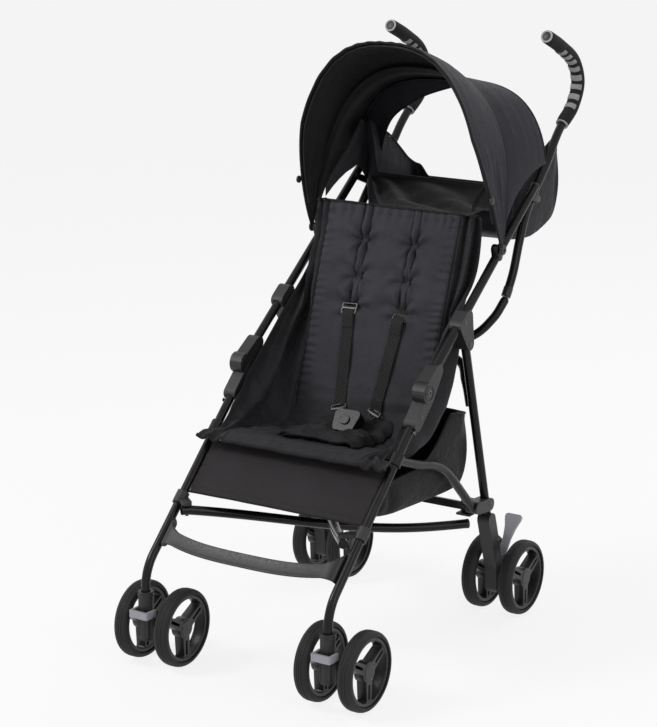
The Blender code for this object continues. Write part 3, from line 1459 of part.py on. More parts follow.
def add_middle(stroller):
    """The cloth, the harness and the footrest between the side frames."""
    pivot_x = (0.0, *CANOPY_PIVOT)
    add("seat_sling", seat_mesh(), CLOTH_CHARCOAL, stroller)
    add("calf_panel", calf_mesh(), CLOTH_CHARCOAL, stroller)
    add("footrest", footrest_mesh(), PLASTIC_BLACK, stroller)
    canopy = add_pivot("canopy_pivot", stroller, pivot_x)
    add("canopy_front", canopy_front_mesh(), CLOTH_CHARCOAL, canopy, pivot_x)
    add("canopy_rear", canopy_rear_mesh(), CLOTH_CHARCOAL, stroller, pivot_x)
    add("pouch", pouch_mesh(), CLOTH_CHARCOAL, stroller)
    add("basket", basket_mesh(), CLOTH_BLACK, stroller)
    add("harness", harness_mesh(), WEBBING_BLACK, stroller)
    add("buckle", buckle_mesh(), PLASTIC_BLACK, stroller, BUCKLE_CENTRE)
    add("buckle_button", button_mesh(), PLASTIC_BLACK, stroller, BUCKLE_CENTRE)


def main():
    clear_scene()
    stroller = add_pivot("stroller", None, (0.0, -ORIGIN_BEHIND_CASTER, 0.0))
    add_middle(stroller)
    for side in (1, -1):
        add_side(stroller, side)


main()
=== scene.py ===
import math

import bmesh
import bpy
import numpy as np
from mathutils import Matrix, Vector, noise


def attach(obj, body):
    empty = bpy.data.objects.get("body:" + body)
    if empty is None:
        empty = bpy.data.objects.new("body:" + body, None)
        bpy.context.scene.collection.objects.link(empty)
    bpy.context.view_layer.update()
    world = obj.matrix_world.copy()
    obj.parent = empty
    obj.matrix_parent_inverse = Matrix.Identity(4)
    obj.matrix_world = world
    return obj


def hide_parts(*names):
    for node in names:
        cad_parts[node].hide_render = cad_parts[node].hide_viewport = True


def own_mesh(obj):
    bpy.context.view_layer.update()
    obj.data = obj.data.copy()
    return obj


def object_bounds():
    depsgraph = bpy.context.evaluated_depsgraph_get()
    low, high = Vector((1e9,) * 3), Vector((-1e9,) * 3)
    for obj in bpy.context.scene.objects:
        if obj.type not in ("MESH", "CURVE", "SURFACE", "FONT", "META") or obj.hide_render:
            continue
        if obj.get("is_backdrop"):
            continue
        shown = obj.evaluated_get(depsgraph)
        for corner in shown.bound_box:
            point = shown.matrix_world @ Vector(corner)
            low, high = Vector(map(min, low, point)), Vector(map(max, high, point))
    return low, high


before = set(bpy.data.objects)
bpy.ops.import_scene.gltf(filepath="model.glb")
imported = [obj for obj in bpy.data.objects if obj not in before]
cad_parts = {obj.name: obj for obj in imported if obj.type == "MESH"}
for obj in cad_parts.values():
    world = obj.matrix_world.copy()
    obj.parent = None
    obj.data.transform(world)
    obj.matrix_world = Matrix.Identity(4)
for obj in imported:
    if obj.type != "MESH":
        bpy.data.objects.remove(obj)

CAD_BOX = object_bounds()

# The row's origin lies this far behind the caster axes, from which lengths along Y are counted here
ORIGIN_BEHIND_CASTER = 0.445
HALF_TRACK = 0.1895
TUBE_RADIUS = 0.008
LEG_CORNER_Z = 0.1816
LEG_ANGLE = math.radians(43.97)
UPPER_POINT = (0.431, 0.590)
UPPER_ANGLE = math.radians(37.09)
REAR_LEG_TOP = (0.4423, 0.5606)
REAR_LEG_BOTTOM = (0.5572, 0.1250)
WHEEL_RADIUS = 0.070
CANOPY_PIVOT = (0.553, 0.698)
LEG_DIRECTION = Vector((0.0, math.cos(LEG_ANGLE), math.sin(LEG_ANGLE)))
LEG_FRONT = Vector((0.0, -math.sin(LEG_ANGLE), math.cos(LEG_ANGLE)))
UPPER_DIRECTION = Vector((0.0, math.cos(UPPER_ANGLE), math.sin(UPPER_ANGLE)))
SIDES = (("left", 1), ("right", -1))
# Share of their width that the cloths between the tubes, and the canopy outside them, are to keep when
# folded; here a piece given a share only gets a mesh of its own
SOFT_KEEP = 0.45
CANOPY_KEEP = 0.49
# Angle up to which the cloths are shaded smooth
CLOTH_ANGLE = 80.0
# Least share of its flat rectangle that a sheet's measured cloth is taken to fill
LEAST_FILL = 0.31
# Points per span of the handle tube's path, and the knot at which its grip starts
HANDLE_SPAN = 7
GRIP_START = 7
TUBE_SIDES = 24
CROSS_BAR_RADIUS = 0.0085
# Places along the legs: the knuckle's drum, the upper tube's two ends, and the seat bar's saddle
KNUCKLE_Y = 0.299
UPPER_FOOT_Y = 0.319
UPPER_TOP_Y = 0.697
SADDLE_Y = 0.2145
# Thicknesses: padded seat cover, then gussets and pouch, canopy and basket, flap and wings, linings
PADDED = 0.0040
STRONG_CLOTH = 0.0022
PLAIN_CLOTH = 0.0020
LIGHT_CLOTH = 0.0016
THIN_CLOTH = 0.0008
# Share of the floor's white that the background's rays see unlit, and the world's light for other rays
FLOOR_GLOW = 0.84
WORLD_LIGHT = 0.36


def fill(tree, socket, value):
    """Set a socket to a value, or link it to another socket."""
    if hasattr(value, "is_output"):
        tree.links.new(value, socket)
    else:
        socket.default_value = value


def add_node(tree, kind, inputs=None, **settings):
    node = tree.nodes.new(kind)
    for key, value in settings.items():
        setattr(node, key, value)
    for key, value in (inputs or {}).items():
        fill(tree, node.inputs[key], value)
    return node


def scaled(colour, factor):
    return tuple(min(1.0, part * factor) for part in colour)


class Shader:
    """A node material built up in code. Its slot is not used."""

    def __init__(self, name, slot, colour, roughness, metallic=0.0):
        self.material = bpy.data.materials.new(name)
        self.material.use_nodes = True
        self.tree = self.material.node_tree
        self.main = self.tree.nodes["Principled BSDF"]
        self.normal = None
        self.set(Base_Color=(*colour, 1.0), Roughness=roughness, Metallic=metallic)

    def add(self, kind, inputs=None, **settings):
        return add_node(self.tree, kind, inputs, **settings)

    def set(self, **inputs):
        for key, value in inputs.items():
            fill(self.tree, self.main.inputs[key.replace("_", " ")], value)

    def place(self, by_uv=False):
        return self.add("ShaderNodeTexCoord").outputs["UV" if by_uv else "Object"]

    def calc(self, operation, first, second=0.0):
        return self.add("ShaderNodeMath", {0: first, 1: second}, operation=operation).outputs[0]

    def noise(self, place, scale, detail, roughness):
        inputs = {"Vector": place, "Scale": scale, "Detail": detail, "Roughness": roughness}
        return self.add("ShaderNodeTexNoise", inputs).outputs["Fac"]

    def cells(self, place, scale):
        return self.add("ShaderNodeTexVoronoi", {"Vector": place, "Scale": scale}).outputs["Distance"]

    def ramp(self, value, low, high, start=0.3, stop=0.7):
        """The value's way from start to stop as a way from low to high."""
        inputs = {"Value": value, "From Min": start, "From Max": stop, "To Min": low, "To Max": high}
        return self.add("ShaderNodeMapRange", inputs).outputs["Result"]

    def mix(self, share, *colours):
        first, second = (part if hasattr(part, "is_output") else (*part, 1.0) for part in colours)
        return self.add("ShaderNodeMix", {0: share, 6: first, 7: second}, data_type="RGBA").outputs[2]

    def mottle(self, pattern, colour, bright):
        return self.mix(self.ramp(pattern, 0.0, 1.0), colour, bright)

    def weave(self, pitch, twill=False):
        """Threads over and under, or diagonal ribs."""
        parts = self.add("ShaderNodeSeparateXYZ", {0: self.place(True)}).outputs
        u, v = (self.calc("MULTIPLY", parts[k], 2 * math.pi / pitch) for k in (0, 1))
        if twill:
            return self.calc("SINE", self.calc("ADD", u, v))
        return self.calc("MULTIPLY", self.calc("SINE", u), self.calc("SINE", v))

    def lifted(self, pattern, share):
        """A pattern from -1 to 1 as one from 0 to twice the share."""
        return self.calc("MULTIPLY", self.calc("ADD", pattern, 1.0), share)

    def bump(self, height, distance, strength):
        inputs = {"Height": height, "Distance": distance, "Strength": strength}
        if self.normal is not None:
            inputs["Normal"] = self.normal
        self.normal = self.add("ShaderNodeBump", inputs).outputs["Normal"]

    def done(self, **inputs):
        """The material, with its bumps and the last inputs in place."""
        self.set(Normal=self.normal, **inputs)
        return self.material


def cloth_material(name, slot, colour, bright, pitch=0.0009, folds=1.0, dark_before=None):
    """A woven cloth with faded patches, soft creases and a faint sheen, and painted shade in front of a
    place along Y where one is given. Its UV map is in metres.
    """
    shader = Shader(name, slot, colour, 0.88)
    place = shader.place()
    fine = shader.noise(place, 160.0, 2.0, 0.6)
    thread = shader.weave(pitch)
    faded_and_shaded = shader.mottle(shader.noise(place, 9.0, 4.0, 0.6), colour, bright)
    # Painted shade: in front of the given place, over the seat pan, the cloth is darkened to 45 per cent of
    # its colour
    if dark_before is not None:
        depth = shader.add("ShaderNodeSeparateXYZ", {0: place}).outputs[1]
        ahead = dark_before - ORIGIN_BEHIND_CASTER
        behind = shader.ramp(depth, 0.0, 1.0, ahead - 0.035, ahead)
        faded_and_shaded = shader.mix(behind, scaled(colour, 0.45), faded_and_shaded)
    dusty_and_shaded = shader.mix(shader.ramp(fine, 0.0, 0.22), faded_and_shaded, scaled(bright, 1.9))
    shader.bump(shader.noise(place, 14.0, 4.0, 0.5), 0.0080 * folds, 0.8)
    shader.bump(shader.noise(place, 48.0, 3.0, 0.55), 0.0016 * folds, 0.6)
    shader.bump(thread, 0.00009, 0.8)
    return shader.done(
        Base_Color=shader.mix(shader.lifted(thread, 0.16), dusty_and_shaded, scaled(colour, 0.55)),
        Roughness=shader.ramp(fine, 0.58, 0.74),
        Sheen_Weight=0.04,
        Sheen_Roughness=0.45,
        Specular_IOR_Level=0.20,
    )


def webbing_material(name, colour, bright):
    """Woven strap with diagonal ribs."""
    shader = Shader(name, "webbing_black", colour, 0.6)
    ribs = shader.weave(0.0062, True)
    shader.bump(ribs, 0.0007, 0.9)
    shader.bump(shader.weave(0.0011), 0.00012, 0.6)
    shades = shader.mix(shader.lifted(ribs, 0.5), colour, bright)
    return shader.done(Base_Color=shades, Specular_IOR_Level=0.25)


def plastic_material(name, slot, colour, bright, roughness):
    """Moulded plastic with a fine spark texture, softened edges and slight scuffs."""
    shader = Shader(name, slot, colour, roughness)
    place = shader.place()
    shader.normal = shader.add("ShaderNodeBevel", {"Radius": 0.0009}, samples=4).outputs["Normal"]
    shader.bump(shader.noise(place, 1500.0, 2.0, 0.6), 0.00010, 0.6)
    base = shader.mottle(shader.noise(place, 18.0, 4.0, 0.6), colour, bright)
    edge = shader.add("ShaderNodeNewGeometry").outputs["Pointiness"]
    scuffs = shader.ramp(shader.noise(place, 240.0, 2.0, 0.7), -0.06, 0.08)
    return shader.done(
        Base_Color=shader.mix(shader.ramp(edge, 0.0, 0.35, 0.52, 0.62), base, scaled(bright, 2.2)),
        Roughness=shader.calc("ADD", scuffs, roughness),
        Specular_IOR_Level=0.38,
    )


def tube_material(name):
    """Black powder coat on aluminium tube: a fine orange peel, a satin shine and faint rub marks."""
    shader = Shader(name, "tube_black", (0.005, 0.005, 0.005), 0.26)
    place = shader.place()
    rub = shader.noise(place, 34.0, 5.0, 0.65)
    shader.bump(shader.noise(place, 520.0, 2.0, 0.5), 0.00006, 0.6)
    return shader.done(
        Base_Color=shader.mottle(rub, (0.004, 0.004, 0.004), (0.009, 0.009, 0.009)),
        Roughness=shader.ramp(rub, 0.20, 0.30),
        Specular_IOR_Level=0.22,
    )


def tyre_material(name):
    """Foam rubber with pores and dust in the tread."""
    shader = Shader(name, "tyre_black", (0.016, 0.016, 0.017), 0.7)
    place = shader.place()
    dust = shader.noise(place, 60.0, 5.0, 0.7)
    shader.bump(shader.noise(place, 130.0, 3.0, 0.6), 0.0004, 0.3)
    shader.bump(shader.cells(place, 900.0), 0.00012, 0.7)
    return shader.done(
        Base_Color=shader.mottle(dust, (0.013, 0.013, 0.014), (0.024, 0.024, 0.025)),
        Roughness=shader.ramp(dust, 0.58, 0.76),
        Specular_IOR_Level=0.30,
    )


def foam_material(name, slot, colour, bright):
    """Closed-cell foam of a grip."""
    shader = Shader(name, slot, colour, 0.92)
    place = shader.place()
    shader.bump(shader.cells(place, 700.0), 0.00025, 0.8)
    shades = shader.mottle(shader.noise(place, 45.0, 4.0, 0.6), colour, bright)
    return shader.done(Base_Color=shades, Specular_IOR_Level=0.25)


def metal_material(name, colour, roughness):
    """Plated steel of screws and rivets."""
    shader = Shader(name, "tube_black", colour, roughness, 1.0)
    shader.bump(shader.noise(shader.place(), 900.0, 2.0, 0.5), 0.00005, 0.5)
    return shader.done()


def charcoal(part, colour, bright, **looks):
    return cloth_material(f"cloth_{part}_woven", "cloth_charcoal", colour, bright, **looks)


# Seat cover cloth, with painted shade darkening its seat pan in front of the back
CHARCOAL = charcoal("charcoal", (0.031, 0.030, 0.036), (0.047, 0.046, 0.055), dark_before=0.402)
# Gusset cloth: a darker copy of the charcoal cloth as painted shade, with a wide spread of tone whose light
# patches are painted highlights on the folds
GUSSET_SHADED = charcoal("gusset", (0.009, 0.009, 0.010), (0.036, 0.035, 0.040), folds=1.6)
CALF_CLOTH = charcoal("calf", (0.020, 0.017, 0.019), (0.028, 0.024, 0.027), folds=0.3)
CANOPY_CLOTH = charcoal("canopy", (0.016, 0.016, 0.022), (0.023, 0.023, 0.031), folds=0.35)
POUCH_CLOTH = charcoal("pouch", (0.010, 0.010, 0.013), (0.019, 0.018, 0.024), folds=1.4)
LAP_CLOTH = charcoal("lap", (0.006, 0.006, 0.007), (0.020, 0.019, 0.021), folds=1.2)
# Lining cloth: a much darker copy of the charcoal cloth, painted shade for the inside of the canopy and for
# the back flap beneath it
LINING_SHADED = charcoal("lining", (0.004, 0.004, 0.004), (0.007, 0.006, 0.006), folds=0.6)
BASKET_CLOTH = cloth_material(
    "cloth_basket_woven", "cloth_black", (0.006, 0.006, 0.006), (0.012, 0.012, 0.012), 0.0014, 1.4
)
BINDING = cloth_material(
    "cloth_binding_woven", "cloth_black", (0.005, 0.005, 0.006), (0.012, 0.012, 0.014), 0.0007, 0.2
)
THREAD = webbing_material("thread_twisted", (0.003, 0.003, 0.003), (0.008, 0.008, 0.008))
WEBBING = webbing_material("webbing_ribbed", (0.004, 0.004, 0.004), (0.030, 0.030, 0.031))
TUBE = tube_material("tube_powder_coat")
PLASTIC, RIM_PLASTIC, LEVER, PEDAL, GRIP_RIM, BRIGHT_CLIP = (
    plastic_material(*looks)
    for looks in (
        ("plastic_moulded", "plastic_black", (0.010, 0.010, 0.011), (0.018, 0.018, 0.019), 0.42),
        ("plastic_rim", "plastic_black", (0.014, 0.014, 0.015), (0.022, 0.022, 0.023), 0.38),
        ("plastic_lever_grey", "lever_grey", (0.22, 0.22, 0.245), (0.28, 0.28, 0.31), 0.4),
        ("plastic_pedal_grey", "pedal_grey", (0.36, 0.36, 0.41), (0.43, 0.43, 0.485), 0.42),
        ("grip_rim_grey", "lever_grey", (0.34, 0.34, 0.35), (0.44, 0.44, 0.45), 0.45),
        ("clip_glossy", "plastic_black", (0.005, 0.005, 0.006), (0.010, 0.010, 0.011), 0.30),
    )
)
TYRE = tyre_material("tyre_foam")
FOAM = foam_material("grip_foam", "grip_black", (0.014, 0.014, 0.015), (0.026, 0.026, 0.027))
PATCH = foam_material("grip_patch", "lever_grey", (0.30, 0.30, 0.31), (0.40, 0.40, 0.41))
STEEL = metal_material("steel_screw", (0.10, 0.10, 0.105), 0.38)
DARK_STEEL = metal_material("steel_dark", (0.03, 0.03, 0.032), 0.42)


# Mesh helpers. Points are given with Y counted from the caster axes.
def made(bm, outward=False, joined=False):
    """A bmesh as a mesh, with its faces turned outward and its double corners joined where asked."""
    if joined:
        bmesh.ops.remove_doubles(bm, verts=bm.verts, dist=1e-6)
    if outward or joined:
        bmesh.ops.recalc_face_normals(bm, faces=bm.faces)
    mesh = bpy.data.meshes.new("shape")
    bm.to_mesh(mesh)
    bm.free()
    return mesh


def linked(name, data):
    item = bpy.data.objects.new(name, data)
    bpy.context.scene.collection.objects.link(item)
    return item


def mirrored(mesh):
    bm = bmesh.new()
    bm.from_mesh(mesh)
    bmesh.ops.scale(bm, vec=(-1.0, 1.0, 1.0), verts=bm.verts)
    bmesh.ops.reverse_faces(bm, faces=bm.faces)
    return made(bm)


def side_of(mesh, side):
    return mesh if side > 0 else mirrored(mesh)


def piece(name, mesh, material, body, replaces=(), keep=None, smooth_angle=38.0):
    """A visible piece that rides on a body; one given a share to keep gets a mesh of its own."""
    mesh.transform(Matrix.Translation((0.0, -ORIGIN_BEHIND_CASTER, 0.0)))
    mesh.name = name
    mesh.materials.clear()
    mesh.materials.append(material)
    mesh.shade_smooth()
    mesh.set_sharp_from_angle(angle=math.radians(smooth_angle))
    item = linked(name, mesh)
    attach(item, body)
    if replaces:
        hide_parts(*replaces)
    if keep:
        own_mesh(item)
    return item


def soft(name, mesh, material, replaces=(), smooth_angle=38.0):
    """A piece of the seat that rides on the seat group, with a mesh of its own."""
    return piece(name, mesh, material, "seat_group", replaces, SOFT_KEEP, smooth_angle)


def sheet(name, mesh, grid, material, replaces=(), body="seat_group", keep=SOFT_KEEP):
    """A piece of cloth, with its flat cut measured on its grid."""
    item = piece(name, mesh, material, body, replaces, keep, CLOTH_ANGLE)
    grid = np.asarray(grid, float)
    width = float(np.linalg.norm(np.diff(grid, axis=1), axis=2).sum(axis=1).max())
    length = float(np.linalg.norm(np.diff(grid, axis=0), axis=2).sum(axis=0).max())
    cells = np.cross(grid[1:, 1:] - grid[:-1, :-1], grid[1:, :-1] - grid[:-1, 1:])
    area = min(float(np.linalg.norm(cells, axis=2).sum() / 2), width * length)
    area = max(area, LEAST_FILL * width * length)


def evaluated(item):
    graph = bpy.context.evaluated_depsgraph_get()
    mesh = bpy.data.meshes.new_from_object(item.evaluated_get(graph))
    bpy.data.objects.remove(item, do_unlink=True)
    return mesh


def finished(mesh, bevel=0.0, levels=0):
    """A mesh with bevelled edges or subdivided once or more."""
    item = linked("scratch", mesh)
    if bevel:
        edges = item.modifiers.new("bevel", "BEVEL")
        edges.width = bevel
        edges.segments = 2
        edges.limit_method = "ANGLE"
        edges.angle_limit = math.radians(35)
    if levels:
        divide = item.modifiers.new("subdivide", "SUBSURF")
        divide.levels = divide.render_levels = levels
    return evaluated(item)


def merged(*meshes):
    """Several meshes as one, UV maps kept."""
    bm = bmesh.new()
    for mesh in meshes:
        bm.from_mesh(mesh)
    return made(bm)


def smooth_path(knots, per_span=8):
    knots = [Vector(knot) for knot in knots]
    ends = [2 * knots[0] - knots[1], *knots, 2 * knots[-1] - knots[-2]]
    points = []
    for index in range(len(knots) - 1):
        before, start, stop, after = ends[index : index + 4]
        for step in range(per_span):
            t = step / per_span
            even = 2 * start + (stop - before) * t
            curved = (2 * before - 5 * start + 4 * stop - after) * t**2
            points.append(0.5 * (even + curved + (3 * start - before - 3 * stop + after) * t**3))
    return [*points, knots[-1]]


def ring_frames(points, closed=False):
    """Two cross directions at each point of a path, carried along without twist."""
    count = len(points)
    frames = []
    side = None
    for index in range(count):
        ahead = points[(index + 1) % count] if closed else points[min(index + 1, count - 1)]
        behind = points[index - 1] if closed or index else points[0]
        along = (ahead - behind).normalized()
        if side is None:
            side = along.cross(Vector((0.0, 0.0, 1.0)))
            if side.length < 0.2:
                side = along.cross(Vector((1.0, 0.0, 0.0)))
        side = (side - along * side.dot(along)).normalized()
        frames.append((side.copy(), along.cross(side).normalized()))
    return frames


def travelled(points):
    """The distance along a path at each of its points."""
    travel = [0.0]
    for here, there in zip(points, points[1:]):
        travel.append(travel[-1] + (there - here).length)
    return travel


def skinned(points, rings, spans, closed=False):
    """Rings of corners joined along a path, with a UV map in metres from each side's span of U."""
    bm = bmesh.new()
    uv = bm.loops.layers.uv.new("UVMap")
    grid = [[bm.verts.new(corner) for corner in ring] for ring in rings]
    near = 0.0
    for index in range(len(points) if closed else len(points) - 1):
        following = (index + 1) % len(points)
        here, there = grid[index], grid[following]
        far = near + (points[following] - points[index]).length
        for corner, (low, high) in enumerate(spans):
            after = (corner + 1) % len(spans)
            face = bm.faces.new((here[corner], here[after], there[after], there[corner]))
            for loop, place in zip(face.loops, ((low, near), (high, near), (high, far), (low, far))):
                loop[uv].uv = place
        near = far
    if not closed:
        bm.faces.new(grid[0][::-1])
        bm.faces.new(grid[-1])
    return made(bm, outward=True)


def sweep(points, outline, closed=False, scale=None):
    """An outline of (side, up) offsets swept along a path."""
    points = [Vector(point) for point in points]
    rings = []
    for index, (side, up) in enumerate(ring_frames(points, closed)):
        grow = scale[index] if scale else 1.0
        rings.append([points[index] + side * a * grow + up * b * grow for a, b in outline])
    around = [0.0]
    for here, there in zip(outline, outline[1:] + outline[:1]):
        around.append(around[-1] + math.dist(here, there))
    return skinned(points, rings, list(zip(around, around[1:])), closed)


def on_circle(radius, turn):
    return radius * math.cos(turn), radius * math.sin(turn)


def circle(radius, sides):
    return [on_circle(radius, 2 * math.pi * k / sides) for k in range(sides)]


def arc(radius, start, stop, steps):
    return [on_circle(radius, start + (stop - start) * k / steps) for k in range(steps + 1)]


def bar(points, radius, sides, dome=(False, False)):
    """A round bar along the points; a domed end is a hemisphere about its end point."""
    points = [Vector(point) for point in points]
    scale = [1.0] * len(points)
    turns = [math.radians(15 * step) for step in range(1, 6)] + [math.radians(86)]
    if dome[0]:
        out = (points[0] - points[1]).normalized()
        points = [points[0] + out * radius * math.sin(turn) for turn in turns[::-1]] + points
        scale = [math.cos(turn) for turn in turns[::-1]] + scale
    if dome[1]:
        out = (points[-1] - points[-2]).normalized()
        points = points + [points[-1] + out * radius * math.sin(turn) for turn in turns]
        scale = scale + [math.cos(turn) for turn in turns]
    return sweep(points, circle(radius, sides), scale=scale)


def turned(profile, start, end, sides=32):
    """A profile of (radius, distance) turned about the line from start towards end."""
    start = Vector(start)
    axis = (Vector(end) - start).normalized()
    side = axis.cross(Vector((0.0, 0.0, 1.0)))
    if side.length < 0.1:
        side = axis.cross(Vector((0.0, 1.0, 0.0)))
    side.normalize()
    up = axis.cross(side)
    bm = bmesh.new()
    rings = []
    for radius, distance in profile:
        centre = start + axis * distance
        if radius < 1e-6:
            rings.append([bm.verts.new(centre)])
            continue
        ring = []
        for a, b in circle(radius, sides):
            ring.append(bm.verts.new(centre + side * a + up * b))
        rings.append(ring)
    for here, there in zip(rings, rings[1:]):
        for k in range(sides):
            after = (k + 1) % sides
            if len(here) == 1:
                bm.faces.new((here[0], there[k], there[after]))
            elif len(there) == 1:
                bm.faces.new((here[k], there[0], here[after]))
            else:
                bm.faces.new((here[k], there[k], there[after], here[after]))
    return made(bm, joined=True)


def turned_on_x(profile, place, sides):
    """A profile turned about the line through a place along X."""
    return turned(profile, place, Vector(place) + Vector((1.0, 0.0, 0.0)), sides)


def prism(outline, low, high):
    """A plate from an outline in (Y, Z), between two places on X."""
    bm = bmesh.new()
    face = bm.faces.new([bm.verts.new((low, *corner)) for corner in outline])
    grown = bmesh.ops.extrude_face_region(bm, geom=[face])["geom"]
    corners = [part for part in grown if isinstance(part, bmesh.types.BMVert)]
    bmesh.ops.translate(bm, vec=(high - low, 0.0, 0.0), verts=corners)
    return made(bm, joined=True)


def pierced(outlines, half_thickness, bevel):
    """A plate about X = 0 from closed outlines in (Y, Z), the first outer and the rest holes."""
    curve = bpy.data.curves.new("pierced", "CURVE")
    curve.dimensions = "2D"
    curve.fill_mode = "BOTH"
    curve.extrude = half_thickness
    curve.bevel_depth = bevel
    curve.bevel_resolution = 1
    curve.offset = -bevel
    for outline in outlines:
        spline = curve.splines.new("POLY")
        spline.use_cyclic_u = True
        spline.points.add(len(outline) - 1)
        for index, point in enumerate(outline):
            spline.points[index].co = (*point, 0.0, 1.0)
    mesh = evaluated(linked("scratch", curve))
    mesh.transform(Matrix.Rotation(math.radians(90), 4, "Y") @ Matrix.Rotation(math.radians(90), 4, "Z"))
    bm = bmesh.new()
    bm.from_mesh(mesh)
    return made(bm, joined=True)


def surface(rows, columns, at):
    """Rows of the points that at(row share, column share) gives."""
    return [[at(r / rows, c / columns) for c in range(columns + 1)] for r in range(rows + 1)]


def normals_of(grid):
    normal = np.cross(np.gradient(grid, axis=1), np.gradient(grid, axis=0))
    return normal / np.maximum(np.linalg.norm(normal, axis=2, keepdims=True), 1e-9)


def cloth(grid, thickness, levels=1):
    """A closed cloth from rows of points, thickened both ways, with a UV map in metres."""
    grid = np.asarray(grid, float)
    rows, columns = grid.shape[:2]
    half = normals_of(grid) * thickness / 2
    faces = (grid + half, grid - half)
    lines = (grid[rows // 2], grid[:, columns // 2])
    steps = (np.linalg.norm(np.diff(line, axis=0), axis=1) for line in lines)
    u, v = (np.concatenate([[0], np.cumsum(step)]) for step in steps)
    bm = bmesh.new()
    uv = bm.loops.layers.uv.new("UVMap")
    top, under = ([[bm.verts.new(point) for point in row] for row in points] for points in faces)

    def face(corners, places):
        for loop, (r, c) in zip(bm.faces.new(corners).loops, places):
            loop[uv].uv = (u[c], v[r])

    for r in range(rows - 1):
        for c in range(columns - 1):
            places = ((r, c), (r, c + 1), (r + 1, c + 1), (r + 1, c))
            face([top[a][b] for a, b in places], places)
            face([under[a][b] for a, b in places[::-1]], places[::-1])
    rim = [(0, c) for c in range(columns)] + [(r, columns - 1) for r in range(1, rows)]
    rim += [(rows - 1, c) for c in range(columns - 2, -1, -1)] + [(r, 0) for r in range(rows - 2, 0, -1)]
    for (a, b), (e, f) in zip(rim, rim[1:] + rim[:1]):
        face([under[a][b], under[e][f], top[e][f], top[a][b]], ((a, b), (e, f), (e, f), (a, b)))
    return finished(made(bm), levels=levels)


def wave(x, y=0.0, z=0.0, scale=1.0):
    """Smooth noise from -1 to 1, the same on every run."""
    return noise.noise(Vector((x * scale + 3.7, y * scale + 1.3, z * scale + 9.1)))


def signed_power(value, power):
    return math.copysign(abs(value) ** power, value)


def bell(value, width):
    return math.exp(-((value / width) ** 2))


def step_between(low, high, value):
    share = min(1.0, max(0.0, (value - low) / (high - low)))
    return share * share * (3 - 2 * share)


def strap(points, normals, width, thickness):
    """A flat band with rounded edges whose flat side faces the given normals."""
    w, t = width / 2, thickness / 2
    edge = 0.9 * t
    lower = [(-w, edge - t), (edge - w, -t), (0.0, -t), (w - edge, -t), (w, edge - t)]
    outline = lower + [(a, -b) for a, b in lower[::-1]]
    points = [Vector(point) for point in points]
    rings = []
    for index, point in enumerate(points):
        along = (points[min(index + 1, len(points) - 1)] - points[max(index - 1, 0)]).normalized()
        up = Vector(normals[index])
        up = (up - along * up.dot(along)).normalized()
        rings.append([point + along.cross(up) * a + up * b for a, b in outline])
    spans = [(here[0], there[0]) for here, there in zip(outline, outline[1:] + outline[:1])]
    return skinned(points, rings, spans)


def stitches(points, normals, length=0.0032, gap=0.0018, radius=0.00035):
    """Thread that shows as a row of short raised stitches along a path."""
    points = [Vector(point) for point in points]
    travel = travelled(points)

    def at(distance):
        index = min(int(np.searchsorted(travel, distance, side="right")) - 1, len(points) - 2)
        share = (distance - travel[index]) / max(travel[index + 1] - travel[index], 1e-9)
        return points[index].lerp(points[index + 1], share), Vector(normals[index])

    bm = bmesh.new()
    place = gap
    while place + length < travel[-1]:
        start, up = at(place)
        end = at(place + length)[0]
        along = (end - start).normalized()
        up = (up - along * up.dot(along)).normalized()
        side = along.cross(up) * radius * 1.3
        up = up * radius
        low, high = (
            [bm.verts.new(corner) for corner in (a - out, a + out, b + out, b - out)]
            for a, b, out in (
                (start - up, end - up, side),
                (start.lerp(end, 0.2) + up, start.lerp(end, 0.8) + up, side * 0.6),
            )
        )
        bm.faces.new(low[::-1])
        bm.faces.new(high)
        for k in range(4):
            after = (k + 1) % 4
            bm.faces.new((low[k], low[after], high[after], high[k]))
        place += length + gap
    return made(bm)


def screw(centre, outward, radius=0.0042, proud=0.0012, hex_hole=False):
    """A pan-head screw with a cross or hex recess, its head on a surface."""
    centre = Vector(centre)
    head = [(0.0, -0.0008), (radius, -0.0008), (radius, proud * 0.35)]
    head += [(radius * 0.86, proud * 0.85), (radius * 0.5, proud)]
    if hex_hole:
        head += [(radius * 0.42, proud * 0.1), (0.0, proud * 0.1)]
    else:
        head += [(radius * 0.3, proud), (radius * 0.26, proud * 0.3), (0.0, proud * 0.2)]
    return turned(head, centre, centre + Vector(outward), 20)


def leg_point(y):
    return Vector((HALF_TRACK, y, LEG_CORNER_Z + y * math.tan(LEG_ANGLE)))


def upper_point(y):
    return Vector((HALF_TRACK, y, UPPER_POINT[1] + (y - UPPER_POINT[0]) * math.tan(UPPER_ANGLE)))


def rear_leg_point(z):
    share = (z - REAR_LEG_TOP[1]) / (REAR_LEG_BOTTOM[1] - REAR_LEG_TOP[1])
    return Vector((HALF_TRACK, REAR_LEG_TOP[0] + share * (REAR_LEG_BOTTOM[0] - REAR_LEG_TOP[0]), z))


# Camera, floor and light
def add_camera():
    data = bpy.data.cameras.new("camera")
    data.sensor_width = 36.0
    data.lens = 116.95
    data.shift_x = -0.00328
    data.shift_y = 0.00270
    data.clip_end = 60.0
    camera = linked("camera", data)
    camera.location = (2.19769, -3.09108 - ORIGIN_BEHIND_CASTER, 1.55446)
    camera.rotation_euler = (math.radians(90 - 14.478), 0.0, math.radians(32.933))
    bpy.context.scene.camera = camera


def add_light(name, location, target, size, power):
    data = bpy.data.lights.new(name, "AREA")
    data.shape = "RECTANGLE"
    data.size, data.size_y = size
    data.energy = power
    light = linked(name, data)
    light.location = location
    light.rotation_euler = (Vector(target) - Vector(location)).to_track_quat("-Z", "Y").to_euler()


def seen_rays(tree):
    """A socket that is 1 for the rays that see the background: camera, glossy and transmission."""
    ray = add_node(tree, "ShaderNodeLightPath").outputs
    seen = ray["Is Camera Ray"]
    for kind in ("Is Glossy Ray", "Is Transmission Ray"):
        seen = add_node(tree, "ShaderNodeMath", {0: seen, 1: ray[kind]}, operation="MAXIMUM").outputs[0]
    return seen


